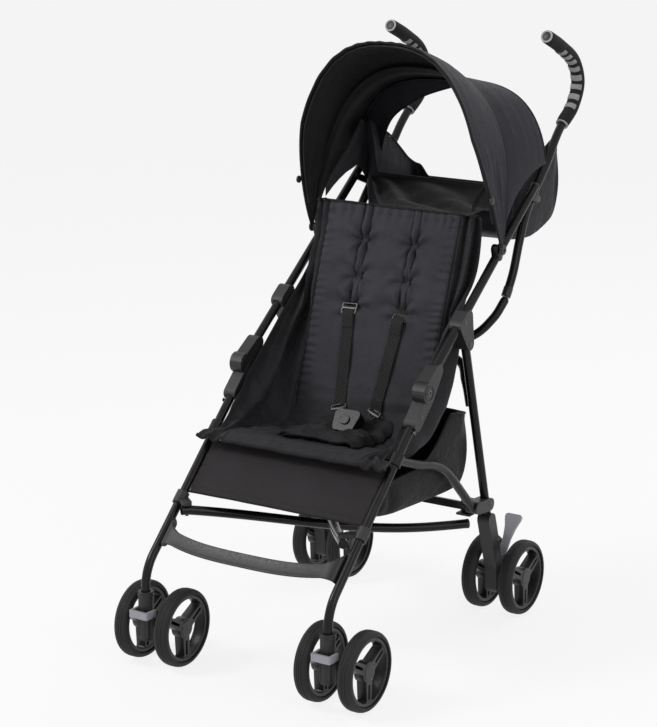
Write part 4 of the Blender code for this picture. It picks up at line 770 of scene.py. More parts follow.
def floor_material():
    """A white floor that keeps the object's shadow."""
    shader = Shader("floor_white", None, (1.0, 1.0, 1.0), 0.9)
    output = next(node for node in shader.tree.nodes if node.type == "OUTPUT_MATERIAL")
    share = shader.calc("MULTIPLY", seen_rays(shader.tree), FLOOR_GLOW)
    glow = shader.add("ShaderNodeEmission").outputs["Emission"]
    both = shader.add("ShaderNodeMixShader", {"Fac": share, 1: shader.main.outputs["BSDF"], 2: glow})
    fill(shader.tree, output.inputs["Surface"], both.outputs["Shader"])
    return shader.material


def add_stage():
    bm = bmesh.new()
    bmesh.ops.create_grid(bm, x_segments=2, y_segments=2, size=30.0)
    mesh = made(bm)
    mesh.materials.append(floor_material())
    floor = linked("floor", mesh)
    floor.location = (0.0, 0.0, -0.0005)
    floor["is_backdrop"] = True
    scene = bpy.context.scene
    scene.world = bpy.data.worlds.new("world")
    scene.world.use_nodes = True
    tree = scene.world.node_tree
    levels = {"Value": seen_rays(tree), "To Min": WORLD_LIGHT, "To Max": 1.0}
    level = add_node(tree, "ShaderNodeMapRange", levels)
    background = tree.nodes["Background"].inputs
    fill(tree, background["Color"], (1.0, 1.0, 1.0, 1.0))
    fill(tree, background["Strength"], level.outputs["Result"])
    scene.view_settings.view_transform = "Standard"
    add_light("key", (-1.9, -2.0, 2.7), (0.0, 0.0, 0.5), (1.0, 1.0), 50.0)
    add_light("fill", (2.6, -1.0, 1.6), (0.0, 0.0, 0.5), (0.9, 1.6), 13.0)
    add_light("back", (0.6, 2.6, 2.6), (0.0, 0.1, 0.6), (1.8, 1.0), 22.0)


# Frame tubes
def front_leg_path():
    """From the stem in the caster up round the bend to the knuckle."""
    bend = math.pi / 2 - LEG_ANGLE
    radius = 0.080
    start_z = LEG_CORNER_Z - radius * math.tan(bend / 2)
    points = [Vector((HALF_TRACK, 0, 0.1125)), Vector((HALF_TRACK, 0, 0.135))]
    for step in range(15):
        back, up = on_circle(radius, bend * step / 14)
        points.append(Vector((HALF_TRACK, radius - back, start_z + up)))
    points.extend(leg_point(0.090 + 0.213 * step / 8) for step in range(9))
    return points


SPLIT_POINT = (0.1810, 0.6035, 0.5920)
HANDLE_KNOTS = (
    SPLIT_POINT,
    (0.1810, 0.634, 0.637),
    (0.1780, 0.662, 0.692),
    (0.1740, 0.694, 0.741),
    (0.1725, 0.730, 0.778),
    (0.1705, 0.775, 0.818),
    (0.1690, 0.812, 0.8605),
    (0.1680, 0.842, 0.887),
    (0.1680, 0.880, 0.914),
    (0.1680, 0.901, 0.957),
    (0.1680, 0.879, 1.001),
    (0.1680, 0.826, 1.032),
    (0.1680, 0.7740, 1.0545),
)


def cross_tube_knots(side):
    offset = -0.0098 if side > 0 else 0.0098
    middle = 0.5490 + offset
    return (
        SPLIT_POINT,
        (0.1690, 0.5850, 0.5620),
        (0.1400, 0.5690 + offset / 2, 0.5300),
        (0.0850, middle + 0.004, 0.5110),
        (0.0, middle, 0.4985),
        (-0.1100, middle - 0.004, 0.4840),
        (-0.1440, 0.5300, 0.4520),
        (-0.1560, 0.5270, 0.4080),
    )


def cross_bar_points(over):
    """A scissor bar from its front pin to the other side, lifted where it runs over the other bar."""
    front = Vector((0.1625, 0.0875, 0.2725))
    rear = Vector((-0.1600, 0.5000, 0.1900))
    extra = 0.010 / (rear - front).xy.length
    points = []
    for step in range(41):
        share = -extra + (1 + 2 * extra) * step / 40
        inside = min(max(share, 0.0), 1.0)
        point = front.lerp(rear, share)
        point.z = front.z + (rear.z - front.z) * inside - 0.0155 * math.sin(math.pi * inside**1.6)
        point.z += over * 0.0205 * math.sin(math.pi * inside) ** 4
        points.append(point)
    return points


def seat_bar_path():
    bends = ((0.260, 0.372), (0.301, 0.358), (0.335, 0.349), (0.372, 0.333))
    bends += ((0.405, 0.307), (0.445, 0.268), (0.4830, 0.2300))
    return smooth_path([leg_point(SADDLE_Y), *((HALF_TRACK, *bend) for bend in bends)], 6)


def add_tubes(name, side):
    """The frame tubes of a side, round and smooth where the model of the mechanism is faceted."""

    def put(label, mesh, body=f"side_frame_{name}", own=True, material=TUBE):
        nodes = (f"{label}_{name}",) if own else ()
        piece(f"{label}_{name}_skin", side_of(mesh, side), material, body, nodes)

    def tube(points, dome=(False, False)):
        return bar(points, TUBE_RADIUS, TUBE_SIDES, dome)

    put("front_leg", tube(front_leg_path()))
    start, stop = upper_point(UPPER_FOOT_Y), upper_point(UPPER_TOP_Y)
    foot, first = upper_point(CANOPY_PIVOT[0] + 0.004), upper_point(0.678)
    lug = prism(rounded(((foot.y, foot.z, 0.009), (*CANOPY_PIVOT, 0.009))), 0.1835, 0.1976)
    arm = prism(rounded(((first.y, first.z, 0.006), (0.7160, 0.7636, 0.007))), 0.1814, 0.1880)
    upper = tube([start.lerp(stop, step / 10) for step in range(11)])
    put("upper_tube", merged(upper, finished(lug, 0.0012), finished(arm, 0.0010)))
    put("rear_leg", tube([rear_leg_point(REAR_LEG_TOP[1] - step * 0.04356) for step in range(11)]))
    clip = ring_clip(leg_point(SADDLE_Y), LEG_DIRECTION, 0.024, TUBE_RADIUS + 0.0004, TUBE_RADIUS + 0.0035)
    put("seat_bar", merged(tube(seat_bar_path()), clip))
    axis = smooth_path(HANDLE_KNOTS, HANDLE_SPAN)
    ahead = (axis[1] - axis[0]).normalized()
    put("handle_tube", tube([axis[0] + ahead * 0.0086, *axis[2 : GRIP_START * HANDLE_SPAN + 3]]))
    cross = smooth_path(cross_tube_knots(side), 8)
    put("rear_cross_tube", tube(cross, (True, False)), f"cross_tube_body_{name}")
    points = cross_bar_points(1 if side > 0 else 0)
    end, out = points[-1], (points[-1] - points[-2]).normalized()
    put("cross_bar", bar(points, CROSS_BAR_RADIUS, TUBE_SIDES), f"cross_bar_body_{name}")
    cap = bar([end - out * 0.004, end + out * 0.0006], CROSS_BAR_RADIUS + 0.0004, TUBE_SIDES)
    put("cross_bar_cap", finished(cap, 0.0006), f"cross_bar_body_{name}", False, PLASTIC)
    foot = axis[0] + ahead * 0.0088
    ferrule = bar([foot, foot + (axis[3] - axis[0]).normalized() * 0.018], TUBE_RADIUS + 0.0008, TUBE_SIDES)
    put("handle_ferrule", finished(ferrule, 0.0004), own=False, material=PLASTIC)


def rounded(circles, sides=28):
    """The outline of a band stretched round circles of two coordinates and a radius."""
    points = sorted((u + a, v + b) for u, v, radius in circles for a, b in circle(radius, sides))

    def turn(a, b, c):
        return (b[0] - a[0]) * (c[1] - a[1]) - (b[1] - a[1]) * (c[0] - a[0])

    def chain(run):
        kept = []
        for point in run:
            while len(kept) > 1 and turn(kept[-2], kept[-1], point) <= 1e-10:
                kept.pop()
            kept.append(point)
        return kept[:-1]

    return chain(points) + chain(points[::-1])


def ring_clip(centre, axis, length, inner, outer):
    """A short collar round a tube, with rounded rims."""
    start = centre - axis * length / 2
    edge = min(0.0012, (outer - inner) * 0.4)
    profile = [(inner, 0.0), (outer - edge, 0.0), (outer, edge), (outer, length - edge)]
    profile += [(outer - edge, length), (inner, length), (inner, 0.0)]
    return turned(profile, start, start + axis, 32)


# Grips
GRIP_RADIUS = 0.0128
PAD_LENGTH = 0.0132
BEND_CENTRE = Vector((0.0, 0.79, 0.97))
END_RIM = ((0.0084, -0.0012), (0.0114, -0.0012), (0.0118, 0.0002), (0.0114, 0.0015), (0.0098, 0.0019))
END_RIM += ((0.0084, 0.0010), (0.0084, -0.0012))
END_PLUG = ((0.0, -0.0012), (0.0083, -0.0012), (0.0083, 0.0004), (0.0070, 0.0009), (0.0, 0.0009))
COLLAR = ((0.0085, 0.0030), (0.0118, 0.0030), (0.0124, 0.0018), (0.0120, -0.0012), (0.0085, -0.0012))
LOW_RIM = ((0.0086, 0.0026), (0.0119, 0.0026), (0.0122, 0.0032), (0.0116, 0.0040), (0.0086, 0.0040))
LOW_RIM += ((0.0086, 0.0026),)


def add_grip(name, side):
    """The foam, its end rings, plug and collar, and eight pads on the inner side of the bend."""
    axis = smooth_path(HANDLE_KNOTS, HANDLE_SPAN)[GRIP_START * HANDLE_SPAN :]
    path = [*axis, axis[-1] + (axis[-1] - axis[-2]).normalized() * 0.0035]
    taper = [0.90, 0.985, *[1.0] * (len(path) - 4), 0.985, 0.90]

    def put(label, mesh, material, replaces=()):
        piece(f"grip_{name}_{label}", side_of(mesh, side), material, f"side_frame_{name}", replaces)

    put("foam", sweep(path, circle(GRIP_RADIUS, 28), scale=taper), FOAM, (f"grip_{name}",))
    tip, foot = (path[-1], path[-1] - path[-2]), (path[0], path[0] - path[1])
    for label, profile, (place, out), sides, material in (
        ("end_rim", END_RIM, tip, 36, GRIP_RIM),
        ("end_plug", END_PLUG, tip, 36, PLASTIC),
        ("collar", COLLAR, foot, 32, FOAM),
        ("low_rim", LOW_RIM, foot, 36, GRIP_RIM),
    ):
        put(label, turned(profile, place, place + out, sides), material)
    travel = travelled(axis)
    put("pads", merged(*(grip_pad(axis, travel, 0.150 + 0.0875 * pad) for pad in range(8))), PATCH)


def grip_pad(axis, travel, middle):
    """A slightly raised pad on the concave side of a bent grip, its middle a share of the grip's length."""

    def at(r, c):
        distance = travel[-1] * middle + PAD_LENGTH * (r - 0.5)
        index = min(max(int(np.searchsorted(travel, distance)) - 1, 0), len(axis) - 2)
        share = (distance - travel[index]) / (travel[index + 1] - travel[index])
        centre = axis[index].lerp(axis[index + 1], share)
        along = (axis[index + 1] - axis[index]).normalized()
        inward = Vector((0.0, along.z, -along.y))
        if inward.dot(BEND_CENTRE - centre) < 0:
            inward = -inward
        turn = math.radians(-64 + 128 * c)
        lift = 0.0011 if min(r, 1 - r, c, 1 - c) else 0.0004
        return centre + (inward * math.cos(turn) + Vector((math.sin(turn), 0, 0))) * (GRIP_RADIUS + lift)

    return cloth(surface(4, 8, at), THIN_CLOTH)


# Wheels
RIM_INNER = 0.0535
RIM_HUB = 0.0185
RIM_CORNER = 0.0505
HALF_SPOKE = 0.0088
TYRE_SHOULDER = [(0.0606, 0.0139), (0.0632, 0.0139), (0.0656, 0.0131), (0.0679, 0.0112), (0.0693, 0.0084)]
TYRE_SHOULDER += [(0.06985, 0.0050)]
GROOVE = ((0.06995, -0.0007), (0.0692, -0.0004), (0.0692, 0.0004), (0.06995, 0.0007))
BAND = [(0.0536, -0.0112), (0.0590, -0.0112), (0.0602, -0.0102), (0.0602, 0.0102), (0.0590, 0.0112)]
BAND += [(0.0536, 0.0112), (0.0530, 0.0095), (0.0530, -0.0095), (0.0536, -0.0112)]
BOSS = [(0.0046, -0.0115), (0.0105, -0.0115), (0.0120, -0.0098), (0.0125, 0.0), (0.0150, 0.0090)]
BOSS += [(0.0150, 0.0100), (0.0138, 0.0112), (0.0060, 0.0116), (0.0, 0.0112)]
BORE = [(0.0046, -0.0115), (0.0046, 0.0070), (0.0, 0.0070)]


def tyre_mesh():
    """A tyre with rounded shoulders and three grooves in its tread."""
    profile = [(radius, -x) for radius, x in TYRE_SHOULDER]
    for groove in (-0.0042, 0.0, 0.0042):
        profile += [(radius, groove + x) for radius, x in GROOVE]
    profile += [*TYRE_SHOULDER[::-1], (0.0606, -0.0139)]
    return turned_on_x(profile, (0, 0, 0), 72)


def rim_mesh(outward):
    """A rim whose three slotted spokes run into the hub disc with rounded corners."""
    outlines = [arc(0.0602, 0.0, 2 * math.pi * 71 / 72, 71)]
    far = math.pi / 3 - math.asin(HALF_SPOKE / RIM_INNER) - 0.03
    near = math.pi / 3 - math.asin(HALF_SPOKE / RIM_HUB) - 0.06
    corner = far + 0.045
    edge = [(0.0235, 0.0019), (0.036, 0.0023), (0.0485, 0.0027)]
    slot = [*((a, -b) for a, b in edge), (0.0500, 0.0), *edge[::-1], (0.0222, 0.0)]
    for spoke in range(3):
        along = -math.pi / 2 + 2 * math.pi * spoke / 3
        middle = along + math.pi / 3
        opening = arc(RIM_INNER, middle - far, middle + far, 20) + [on_circle(RIM_CORNER, middle + corner)]
        opening += arc(RIM_HUB, middle + near, middle - near, 8) + [on_circle(RIM_CORNER, middle - corner)]
        ca, sa = on_circle(1.0, along)
        outlines += [opening, [(a * ca - b * sa, a * sa + b * ca) for a, b in slot]]
    rounds = ((BAND, 72), (BOSS, 48), (BORE, 24))
    turnings = (turned_on_x(profile, (0, 0, 0), sides) for profile, sides in rounds)
    return side_of(merged(pierced(outlines, 0.0085, 0.0014), *turnings), outward)


# The axles' places along Y, and how far the wheels stand beside the legs' plane
AXLES = (("front", 0.046, 0.0432), ("rear", 0.6026, 0.0390))


def add_wheels(name, side):
    tyre = tyre_mesh()
    for place, y, half in AXLES:
        for which, way in (("outer", 1), ("inner", -1)):
            at = Matrix.Translation((side * (HALF_TRACK + way * half), y, WHEEL_RADIUS))
            wheel = f"{place}_{which}_{name}"
            for part, mesh, material, angle in (
                ("tyre", tyre.copy(), TYRE, 50.0),
                ("rim", rim_mesh(side * way), RIM_PLASTIC, 38.0),
            ):
                mesh.transform(at)
                body = f"{place}_{which}_wheel_{name}"
                label = f"{wheel}_{part}"
                piece(f"{label}_skin", mesh, material, body, (label,), smooth_angle=angle)


# The sling seat, as (Y, Z) lines of its middle and its edges
SEAT_MIDDLE = ((0.168, 0.386), (0.190, 0.392), (0.215, 0.391), (0.260, 0.384), (0.310, 0.374))
SEAT_MIDDLE += ((0.352, 0.370), (0.380, 0.379), (0.394, 0.405))
SEAT_BACK_TOP = (0.515, 0.760)
SEAT_EDGE = ((0.168, 0.386), (0.190, 0.392), (0.206, 0.394), (0.228, 0.409), (0.252, 0.433))
SEAT_EDGE += ((0.284, 0.463), (0.312, 0.489), (0.345, 0.517))
SEAT_EDGE_TOP = ((0.381, 0.548), (0.431, 0.588), (0.480, 0.626), (0.512, 0.660), (0.527, 0.715))
SEAT_EDGE_TOP += ((0.527, 0.757),)
# Half widths of the padded panel, of the flap, and over the gussets
SEAT_PANEL = 0.140
FLAP_HALF = 0.1970
GUSSET_HALF = 0.1742
# Share of a row's points that lie on the panel, the rest being on the gussets
PANEL_SHARE = 0.80
SEAT_ROWS_HIGH = 132
SEAT_COLUMNS = 200
SEAT_SEAM = 20
TUFT_X = 0.0525
TUFT_HEIGHTS = (0.585, 0.637, 0.700)
CHANNEL_FOOT = 0.575


def seat_lines():
    """Middle and edge lines of the sling, the seat's rows and then the back's."""
    middle = smooth_path([(0, *point) for point in SEAT_MIDDLE], 6)
    edges = smooth_path([(0, *point) for point in (*SEAT_EDGE, *SEAT_EDGE_TOP)], 6)
    low, high = Vector((0, *SEAT_MIDDLE[-1])), Vector((0, *SEAT_BACK_TOP))
    side = edges[len(middle) - 1 :]
    back, back_edges = [], []
    for k in range(1, SEAT_ROWS_HIGH + 1):
        back.append(low.lerp(high, k / SEAT_ROWS_HIGH))
        place = (len(side) - 1) * k / SEAT_ROWS_HIGH
        index = min(int(place), len(side) - 2)
        back_edges.append(side[index].lerp(side[index + 1], place - index))
    return [*middle, *back], [*edges[: len(middle)], *back_edges]


def back_relief(x, z):
    """The padded back: crown, stitched channels, pillows, tufts with star creases, and puckers."""
    side = abs(x)
    off_tuft = side - TUFT_X
    high = step_between(CHANNEL_FOOT, 0.592, z)
    lift = 0.0030 * math.cos(math.pi * min(side, 0.138) / 0.276)
    lift -= 0.0044 * high * (bell(side - 0.0450, 0.0026) + bell(side - 0.0600, 0.0026))
    lift += 0.0022 * high * bell(off_tuft, 0.005)
    pillows = 0.0056 * bell(side - 0.095, 0.026) + 0.0050 * bell(side, 0.030)
    lift += high * pillows * (0.6 + 0.4 * math.cos(2 * math.pi * (z - 0.611) / 0.055))
    for height in TUFT_HEIGHTS:
        away = math.hypot(off_tuft * 0.75, z - height)
        turn = math.atan2(z - height, x - math.copysign(TUFT_X, x))
        star = math.cos(6 * turn + height * 40 + 1.5 * wave(x, z, 0, 30.0))
        lift += 0.0036 * star * bell(away - 0.017, 0.014) - 0.0092 * bell(away, 0.0105)
    for height in (*TUFT_HEIGHTS, CHANNEL_FOOT):
        lift -= 0.0016 * bell(z - height, 0.0045) * bell(off_tuft, 0.026)
    pucker = math.sin(2 * math.pi * z / 0.0150 + 9.0 * wave(z, x * 0.4, 0, 16.0))
    lift += 0.0018 * pucker * (0.7 + 0.9 * wave(z, 4, x, 19.0)) * bell(side - 0.127, 0.013)
    lift -= 0.0042 * bell(side - 0.1380, 0.0040)
    lift += 0.0020 * bell(z - 0.748, 0.014) * math.sin(2 * math.pi * x / 0.019 + 4 * wave(x, 5, 0, 24.0))
    lift += 0.0042 * wave(x, z * 0.8, 0.0, 9.0) + 0.0016 * wave(x * 1.3, z * 0.8, 6.0, 24.0)
    return lift + 0.0040 * bell(z - 0.425, 0.030) * wave(x * 0.5, z * 3.0, 4.0, 18.0)


def lap_relief(x, y):
    """Folds of the seat's cloth, deeper towards the back, and a raised ridge round the lap."""
    deep = step_between(0.20, 0.27, y)
    ridge = math.hypot(x * 0.62, y - 0.402) - 0.088
    lift = (0.0014 + 0.0042 * deep) * wave(x * 0.9, y * 2.2, 2.0, 19.0)
    lift += (0.0010 + 0.0020 * deep) * wave(x * 2.0, y * 1.6, 7.0, 30.0)
    lift += 0.0050 * deep * bell(ridge, 0.0085) * (0.75 + 0.5 * wave(x, y, 0.0, 26.0))
    return lift - 0.0034 * deep * bell(ridge + 0.015, 0.0070)


def gusset_relief(point, across):
    """Long folds of a side gusset, at a share of its width from the panel to the tube."""
    x, y, z = point
    low = (1 - step_between(0.545, 0.605, z)) * step_between(0.215, 0.285, y)
    hollow = math.sin(math.pi * min(1.0, across / 0.62)) ** 0.8 * step_between(0.0, 0.1, across)
    swing = math.pi * (4.2 * across - 0.4) + 2.6 * wave(y * 0.6, z, 2.0 + x * 2, 4.0)
    fold = 1.0 - 2.0 * abs(math.sin(swing / 2)) ** 0.8
    lift = 0.0175 * fold * math.sin(math.pi * across) ** 0.8 * (0.35 + 0.65 * step_between(0.38, 0.50, z))
    return lift - 0.0230 * low * hollow + 0.0022 * wave(x * 5, y, z, 16.0)


def seat_grid():
    """The sling from its front flap to the top of its back, as rows of points, and their normals."""
    middles, edges = seat_lines()
    seat_rows = len(middles) - SEAT_ROWS_HIGH
    rows = []
    for index, (middle, edge) in enumerate(zip(middles, edges)):
        half = GUSSET_HALF + (FLAP_HALF - GUSSET_HALF) * (1 - step_between(0.186, 0.197, edge.y))
        in_back = step_between(seat_rows - 8, seat_rows + 4, index)
        sag = 0.008 * (1 - in_back) * step_between(0.185, 0.225, middle.y)
        row = []
        for column in range(SEAT_COLUMNS + 1):
            u = -1 + 2 * column / SEAT_COLUMNS
            on_panel = min(1.0, abs(u) / PANEL_SHARE)
            gusset = max(0.0, (abs(u) - PANEL_SHARE) / (1 - PANEL_SHARE))
            x = math.copysign(SEAT_PANEL * on_panel + (half - SEAT_PANEL) * gusset, u)
            base = middle.lerp(edge, gusset)
            base = Vector((x, base.y, base.z - sag * (1 - on_panel**2)))
            if gusset == 0:
                base.z -= 0.0016 * max(0.0, 1 - index / 6) * (1 + wave(x, 0, 3, 30.0))
            row.append((base, in_back, gusset))
        rows.append(row)
    grid = np.array([[cell[0] for cell in row] for row in rows], float)
    normal = normals_of(grid)
    if normal[SEAT_ROWS_HIGH, SEAT_COLUMNS // 2, 1] > 0:
        normal = -normal
    for r, row in enumerate(rows):
        for c, (base, in_back, gusset) in enumerate(row):
            lift = in_back * back_relief(base.x, base.z) if in_back else lap_relief(base.x, base.y)
            if gusset:
                lift += gusset_relief(base, gusset)
            grid[r, c] += normal[r, c] * lift
    return grid, normal


SEAT_GRID, SEAT_NORMAL = seat_grid()


def seat_line(x):
    """The seat's line of points at a place across it."""
    column = SEAT_COLUMNS / 2 * (1 + PANEL_SHARE * x / SEAT_PANEL)
    c = min(max(int(column), 0), SEAT_COLUMNS - 1)
    return SEAT_GRID[:, c] * (1 - column + c) + SEAT_GRID[:, c + 1] * (column - c)


def on_back(x, z, lift=0.0):
    """The seat back's front face at a place, and its normal."""
    heights = SEAT_GRID[:, SEAT_COLUMNS // 2, 2]
    first = len(heights) - SEAT_ROWS_HIGH
    r = first + int(np.clip(np.searchsorted(heights[first:], z) - 1, 0, SEAT_ROWS_HIGH - 2))
    share = min(max((z - heights[r]) / max(heights[r + 1] - heights[r], 1e-9), 0.0), 1.0)
    line = seat_line(x)
    normal = Vector(SEAT_NORMAL[r, SEAT_COLUMNS // 2])
    return Vector(line[r] * (1 - share) + line[r + 1] * share) + normal * (0.0020 + lift), normal


def on_seat(x, y):
    """Height of the seat's middle surface at a place."""
    line = seat_line(x)
    return float(np.interp(y, line[:, 1], line[:, 2]))


def back_line(start, stop, steps, lift):
    """Points and normals on the seat's back, along the line between two places (X, Z)."""
    (x, z), (far_x, far_z) = start, stop
    shares = (k / steps for k in range(steps + 1))
    return zip(*(on_back(x + (far_x - x) * share, z + (far_z - z) * share, lift) for share in shares))


def add_seat():
    """The padded cover, the gussets at its sides, and their edges and stitches."""
    mesh = cloth(SEAT_GRID[:, SEAT_SEAM:-SEAT_SEAM], PADDED, levels=0)
    soft("seat_cover", mesh, CHARCOAL, ("seat_sling",), CLOTH_ANGLE)
    for label, columns in (("right", slice(0, SEAT_SEAM + 1)), ("left", slice(-SEAT_SEAM - 1, None))):
        grid = SEAT_GRID[:, columns]
        mesh = cloth(grid, STRONG_CLOTH)
        sheet(f"seat_gusset_{label}", mesh, grid, GUSSET_SHADED)
    # Binding along the top of the back, and a rolled hem along the front flap
    soft("seat_top_binding", sweep(SEAT_GRID[-1][4:-4], circle(0.0030, 12)), BINDING)
    soft("seat_front_hem", sweep(SEAT_GRID[0] - (0.0, 0.001, 0.0005), circle(0.0034, 12)), BINDING)
    # Piping down both sides of the back panel, and the back's rows of stitches
    threads = []
    for way, label in ((-1, "right"), (1, "left")):
        points = list(back_line((way * 0.1372, 0.412), (way * 0.1372, 0.756), 69, 0.0002))[0]
        soft(f"seat_piping_{label}", sweep(points, circle(0.0019, 8)), BINDING)
        for x in (0.0435, 0.0465, 0.0585, 0.0615):
            threads.append(stitches(*back_line((way * x, 0.590), (way * x, 0.752), 50, 0.0001)))
        threads.append(stitches(*back_line((way * 0.1335, 0.415), (way * 0.1335, 0.750), 90, 0.0001)))
        for height in TUFT_HEIGHTS:
            for z in (height - 0.0016, height, height + 0.0016):
                tuft = back_line((way * (TUFT_X - 0.009), z), (way * (TUFT_X + 0.009), z), 8, 0.0008)
                threads.append(stitches(*tuft, 0.0165, 0.0006, 0.0008))
    threads.append(stitches(*back_line((-0.128, 0.7475), (0.128, 0.7475), 80, 0.0001)))
    soft("seat_stitching", merged(*threads), THREAD)


# Calf panel
def add_calf_panel():
    def at(r, c):
        z, across = 0.2960 + 0.0760 * r, -1 + 2 * c
        x = 0.1810 * across
        billow = 0.0034 * math.cos(math.pi * across / 2) * math.sin(math.pi * (0.15 + 0.7 * r))
        billow += 0.0012 * wave(x, z * 2.0, 1.0, 13.0) + 0.0007 * wave(x, z * 3.0, 5.0, 34.0)
        billow += 0.0010 * math.sin(2 * math.pi * z / 0.019) * bell(abs(across) - 1.0, 0.10)
        point = leg_point((z - LEG_CORNER_Z) / math.tan(LEG_ANGLE)) + LEG_FRONT * billow
        return Vector((x, point.y, point.z))

    rows = surface(28, 72, at)
    sheet("calf_cloth", cloth(rows, STRONG_CLOTH), rows, CALF_CLOTH, ("calf_panel",))
    soft("calf_hem", sweep(rows[0], circle(0.0019, 10)), BINDING)
    line = [point + LEG_FRONT * 0.0012 for point in rows[3]]
    soft("calf_stitching", stitches(line, [LEG_FRONT] * len(line)), THREAD)


# Canopy: its half width, its reach from the pivots in front and at the seam, the seam's angle, and how
# far in front of the pivots the front edge stands
CANOPY_HALF = 0.2045
CANOPY_REACH = 0.3730
CANOPY_SEAM_REACH = 0.3110
CANOPY_SEAM_ANGLE = math.radians(13.0)
CANOPY_AHEAD = 0.0730
CANOPY_ROWS = 30
CANOPY_COLUMNS = 104
CANOPY_CURVE = 2 / 2.5
VISOR_INSET = 0.0012
REAR_INSET = 0.0052
# How far the rear part runs on under the visor
REAR_UNDERLAP = math.radians(6.0)
HOOP_UP = 0.2740
HOOP_BACK = 0.1670
HOOP_CURVE = 3.4
# Height above the pivots below which the hoop runs in to them
HOOP_FOOT = 0.130
HEM_ROWS = 8


def canopy_columns(inset):
    """Places across the canopy, from one pivot to the other, each with its share of the reach."""
    start = math.asin((0.008 / CANOPY_REACH) ** (1 / CANOPY_CURVE))
    columns = []
    for column in range(CANOPY_COLUMNS + 1):
        across, up = on_circle(1.0, start + (math.pi - 2 * start) * column / CANOPY_COLUMNS)
        columns.append((signed_power(across, CANOPY_CURVE) * (CANOPY_HALF - inset), up**CANOPY_CURVE))
    return columns


def canopy_point(x, reach, angle):
    return Vector((x, CANOPY_PIVOT[0] + reach * math.sin(angle), CANOPY_PIVOT[1] + reach * math.cos(angle)))


def visor_point(share, x, part):
    """A place on the visor, from its front edge to the seam, gathered towards its feet."""
    radius = part * (CANOPY_REACH - VISOR_INSET)
    ahead = CANOPY_AHEAD * min(1.0, radius / 0.220) ** 0.8
    front = -math.asin(min(ahead / radius, 0.9))
    middle, high = math.sin(math.pi * share), min(1.0, part * 2)
    pucker = 0.0007 * math.sin(x * 260 + 4 * wave(x, 0, 1, 9.0))
    pucker *= bell(share, 0.10) + bell(share - 1, 0.12)
    ripple = 0.0016 * wave(x * 0.7, share * 1.6, 2.0, 9.0) * high
    reach = part * (CANOPY_REACH - VISOR_INSET + (CANOPY_SEAM_REACH - CANOPY_REACH) * share)
    reach += (pucker + ripple) * part - 0.0016 * middle * high
    seed = 2.0 if x > 0 else 5.0
    gather = bell(part - 0.34, 0.17) * middle * (0.5 + 0.5 * wave(share * 2.2, part * 1.2, seed, 4.5))
    angle = front + (CANOPY_SEAM_ANGLE - front) * share
    return canopy_point(x - math.copysign(0.0075 * gather, x), reach, angle)


def hoop(x):
    """How far the rear hoop stands above the pivots and behind them at a place across it."""
    up = HOOP_UP * (1 - (abs(x) / CANOPY_HALF) ** HOOP_CURVE) ** (1 / HOOP_CURVE)
    return up, HOOP_BACK * min(1.0, up / HOOP_FOOT)


def rear_point(share, x, part):
    """A place on the canopy's rear part, from under the seam to the hoop."""
    up, back = hoop(x)
    near = part * (CANOPY_SEAM_REACH - REAR_INSET - 0.0008)
    start, last = CANOPY_SEAM_ANGLE - REAR_UNDERLAP, math.atan2(back, up)
    angle = start + (last - start) * share
    swell = max(0.0, (angle - CANOPY_SEAM_ANGLE) / (last - CANOPY_SEAM_ANGLE))
    sag = 0.0025 - 0.0018 * wave(x * 0.7, share * 1.5, 7.0, 10.0)
    reach = near + (math.hypot(up, back) - near) * swell
    reach += part * 0.0060 * (1 - step_between(0.0, 0.16, share))
    return canopy_point(x, reach - sag * math.sin(math.pi * share) * min(1.0, part * 2), angle)


def hem_point(share, x):
    """A place on the hem that hangs behind the hoop and draws in downward."""
    up, back = hoop(x)
    drop = 0.055 + 0.11 * min(1.0, abs(x) / CANOPY_HALF / 0.6)
    inward = 0.20 * min(1.0, up / HOOP_FOOT)
    hang = 0.0014 * math.sin(x * 120 + 3 * wave(x, 3, 0, 12.0)) * share
    y = CANOPY_PIVOT[0] + back + hang
    return Vector((x * (1 - inward * share), y, CANOPY_PIVOT[1] + up * (1 - drop * share)))


def canopy_rows(at, inset, rows=CANOPY_ROWS, first=0):
    columns = canopy_columns(inset)
    return [[at(r / rows, *column) for column in columns] for r in range(first, rows + 1)]


def canopy_inside(line, depth):
    """A line of the canopy's cloth moved inward."""
    moved = []
    for point in line:
        centre = Vector((point.x * 0.25, *CANOPY_PIVOT))
        moved.append(point + (centre - point).normalized() * depth)
    return moved


def canopy_stitches(grid, r, ends):
    """Stitches just above a row of the canopy's cloth, without some points at its ends."""
    points = np.asarray(grid, float)
    normal = normals_of(points)
    away = ((points - (0.0, *CANOPY_PIVOT)) * normal).sum(axis=2)
    if away[len(grid) // 2].mean() <= 0:
        normal = -normal
    return stitches((points[r] + normal[r] * 0.0011)[ends:-ends], normal[r][ends:-ends])


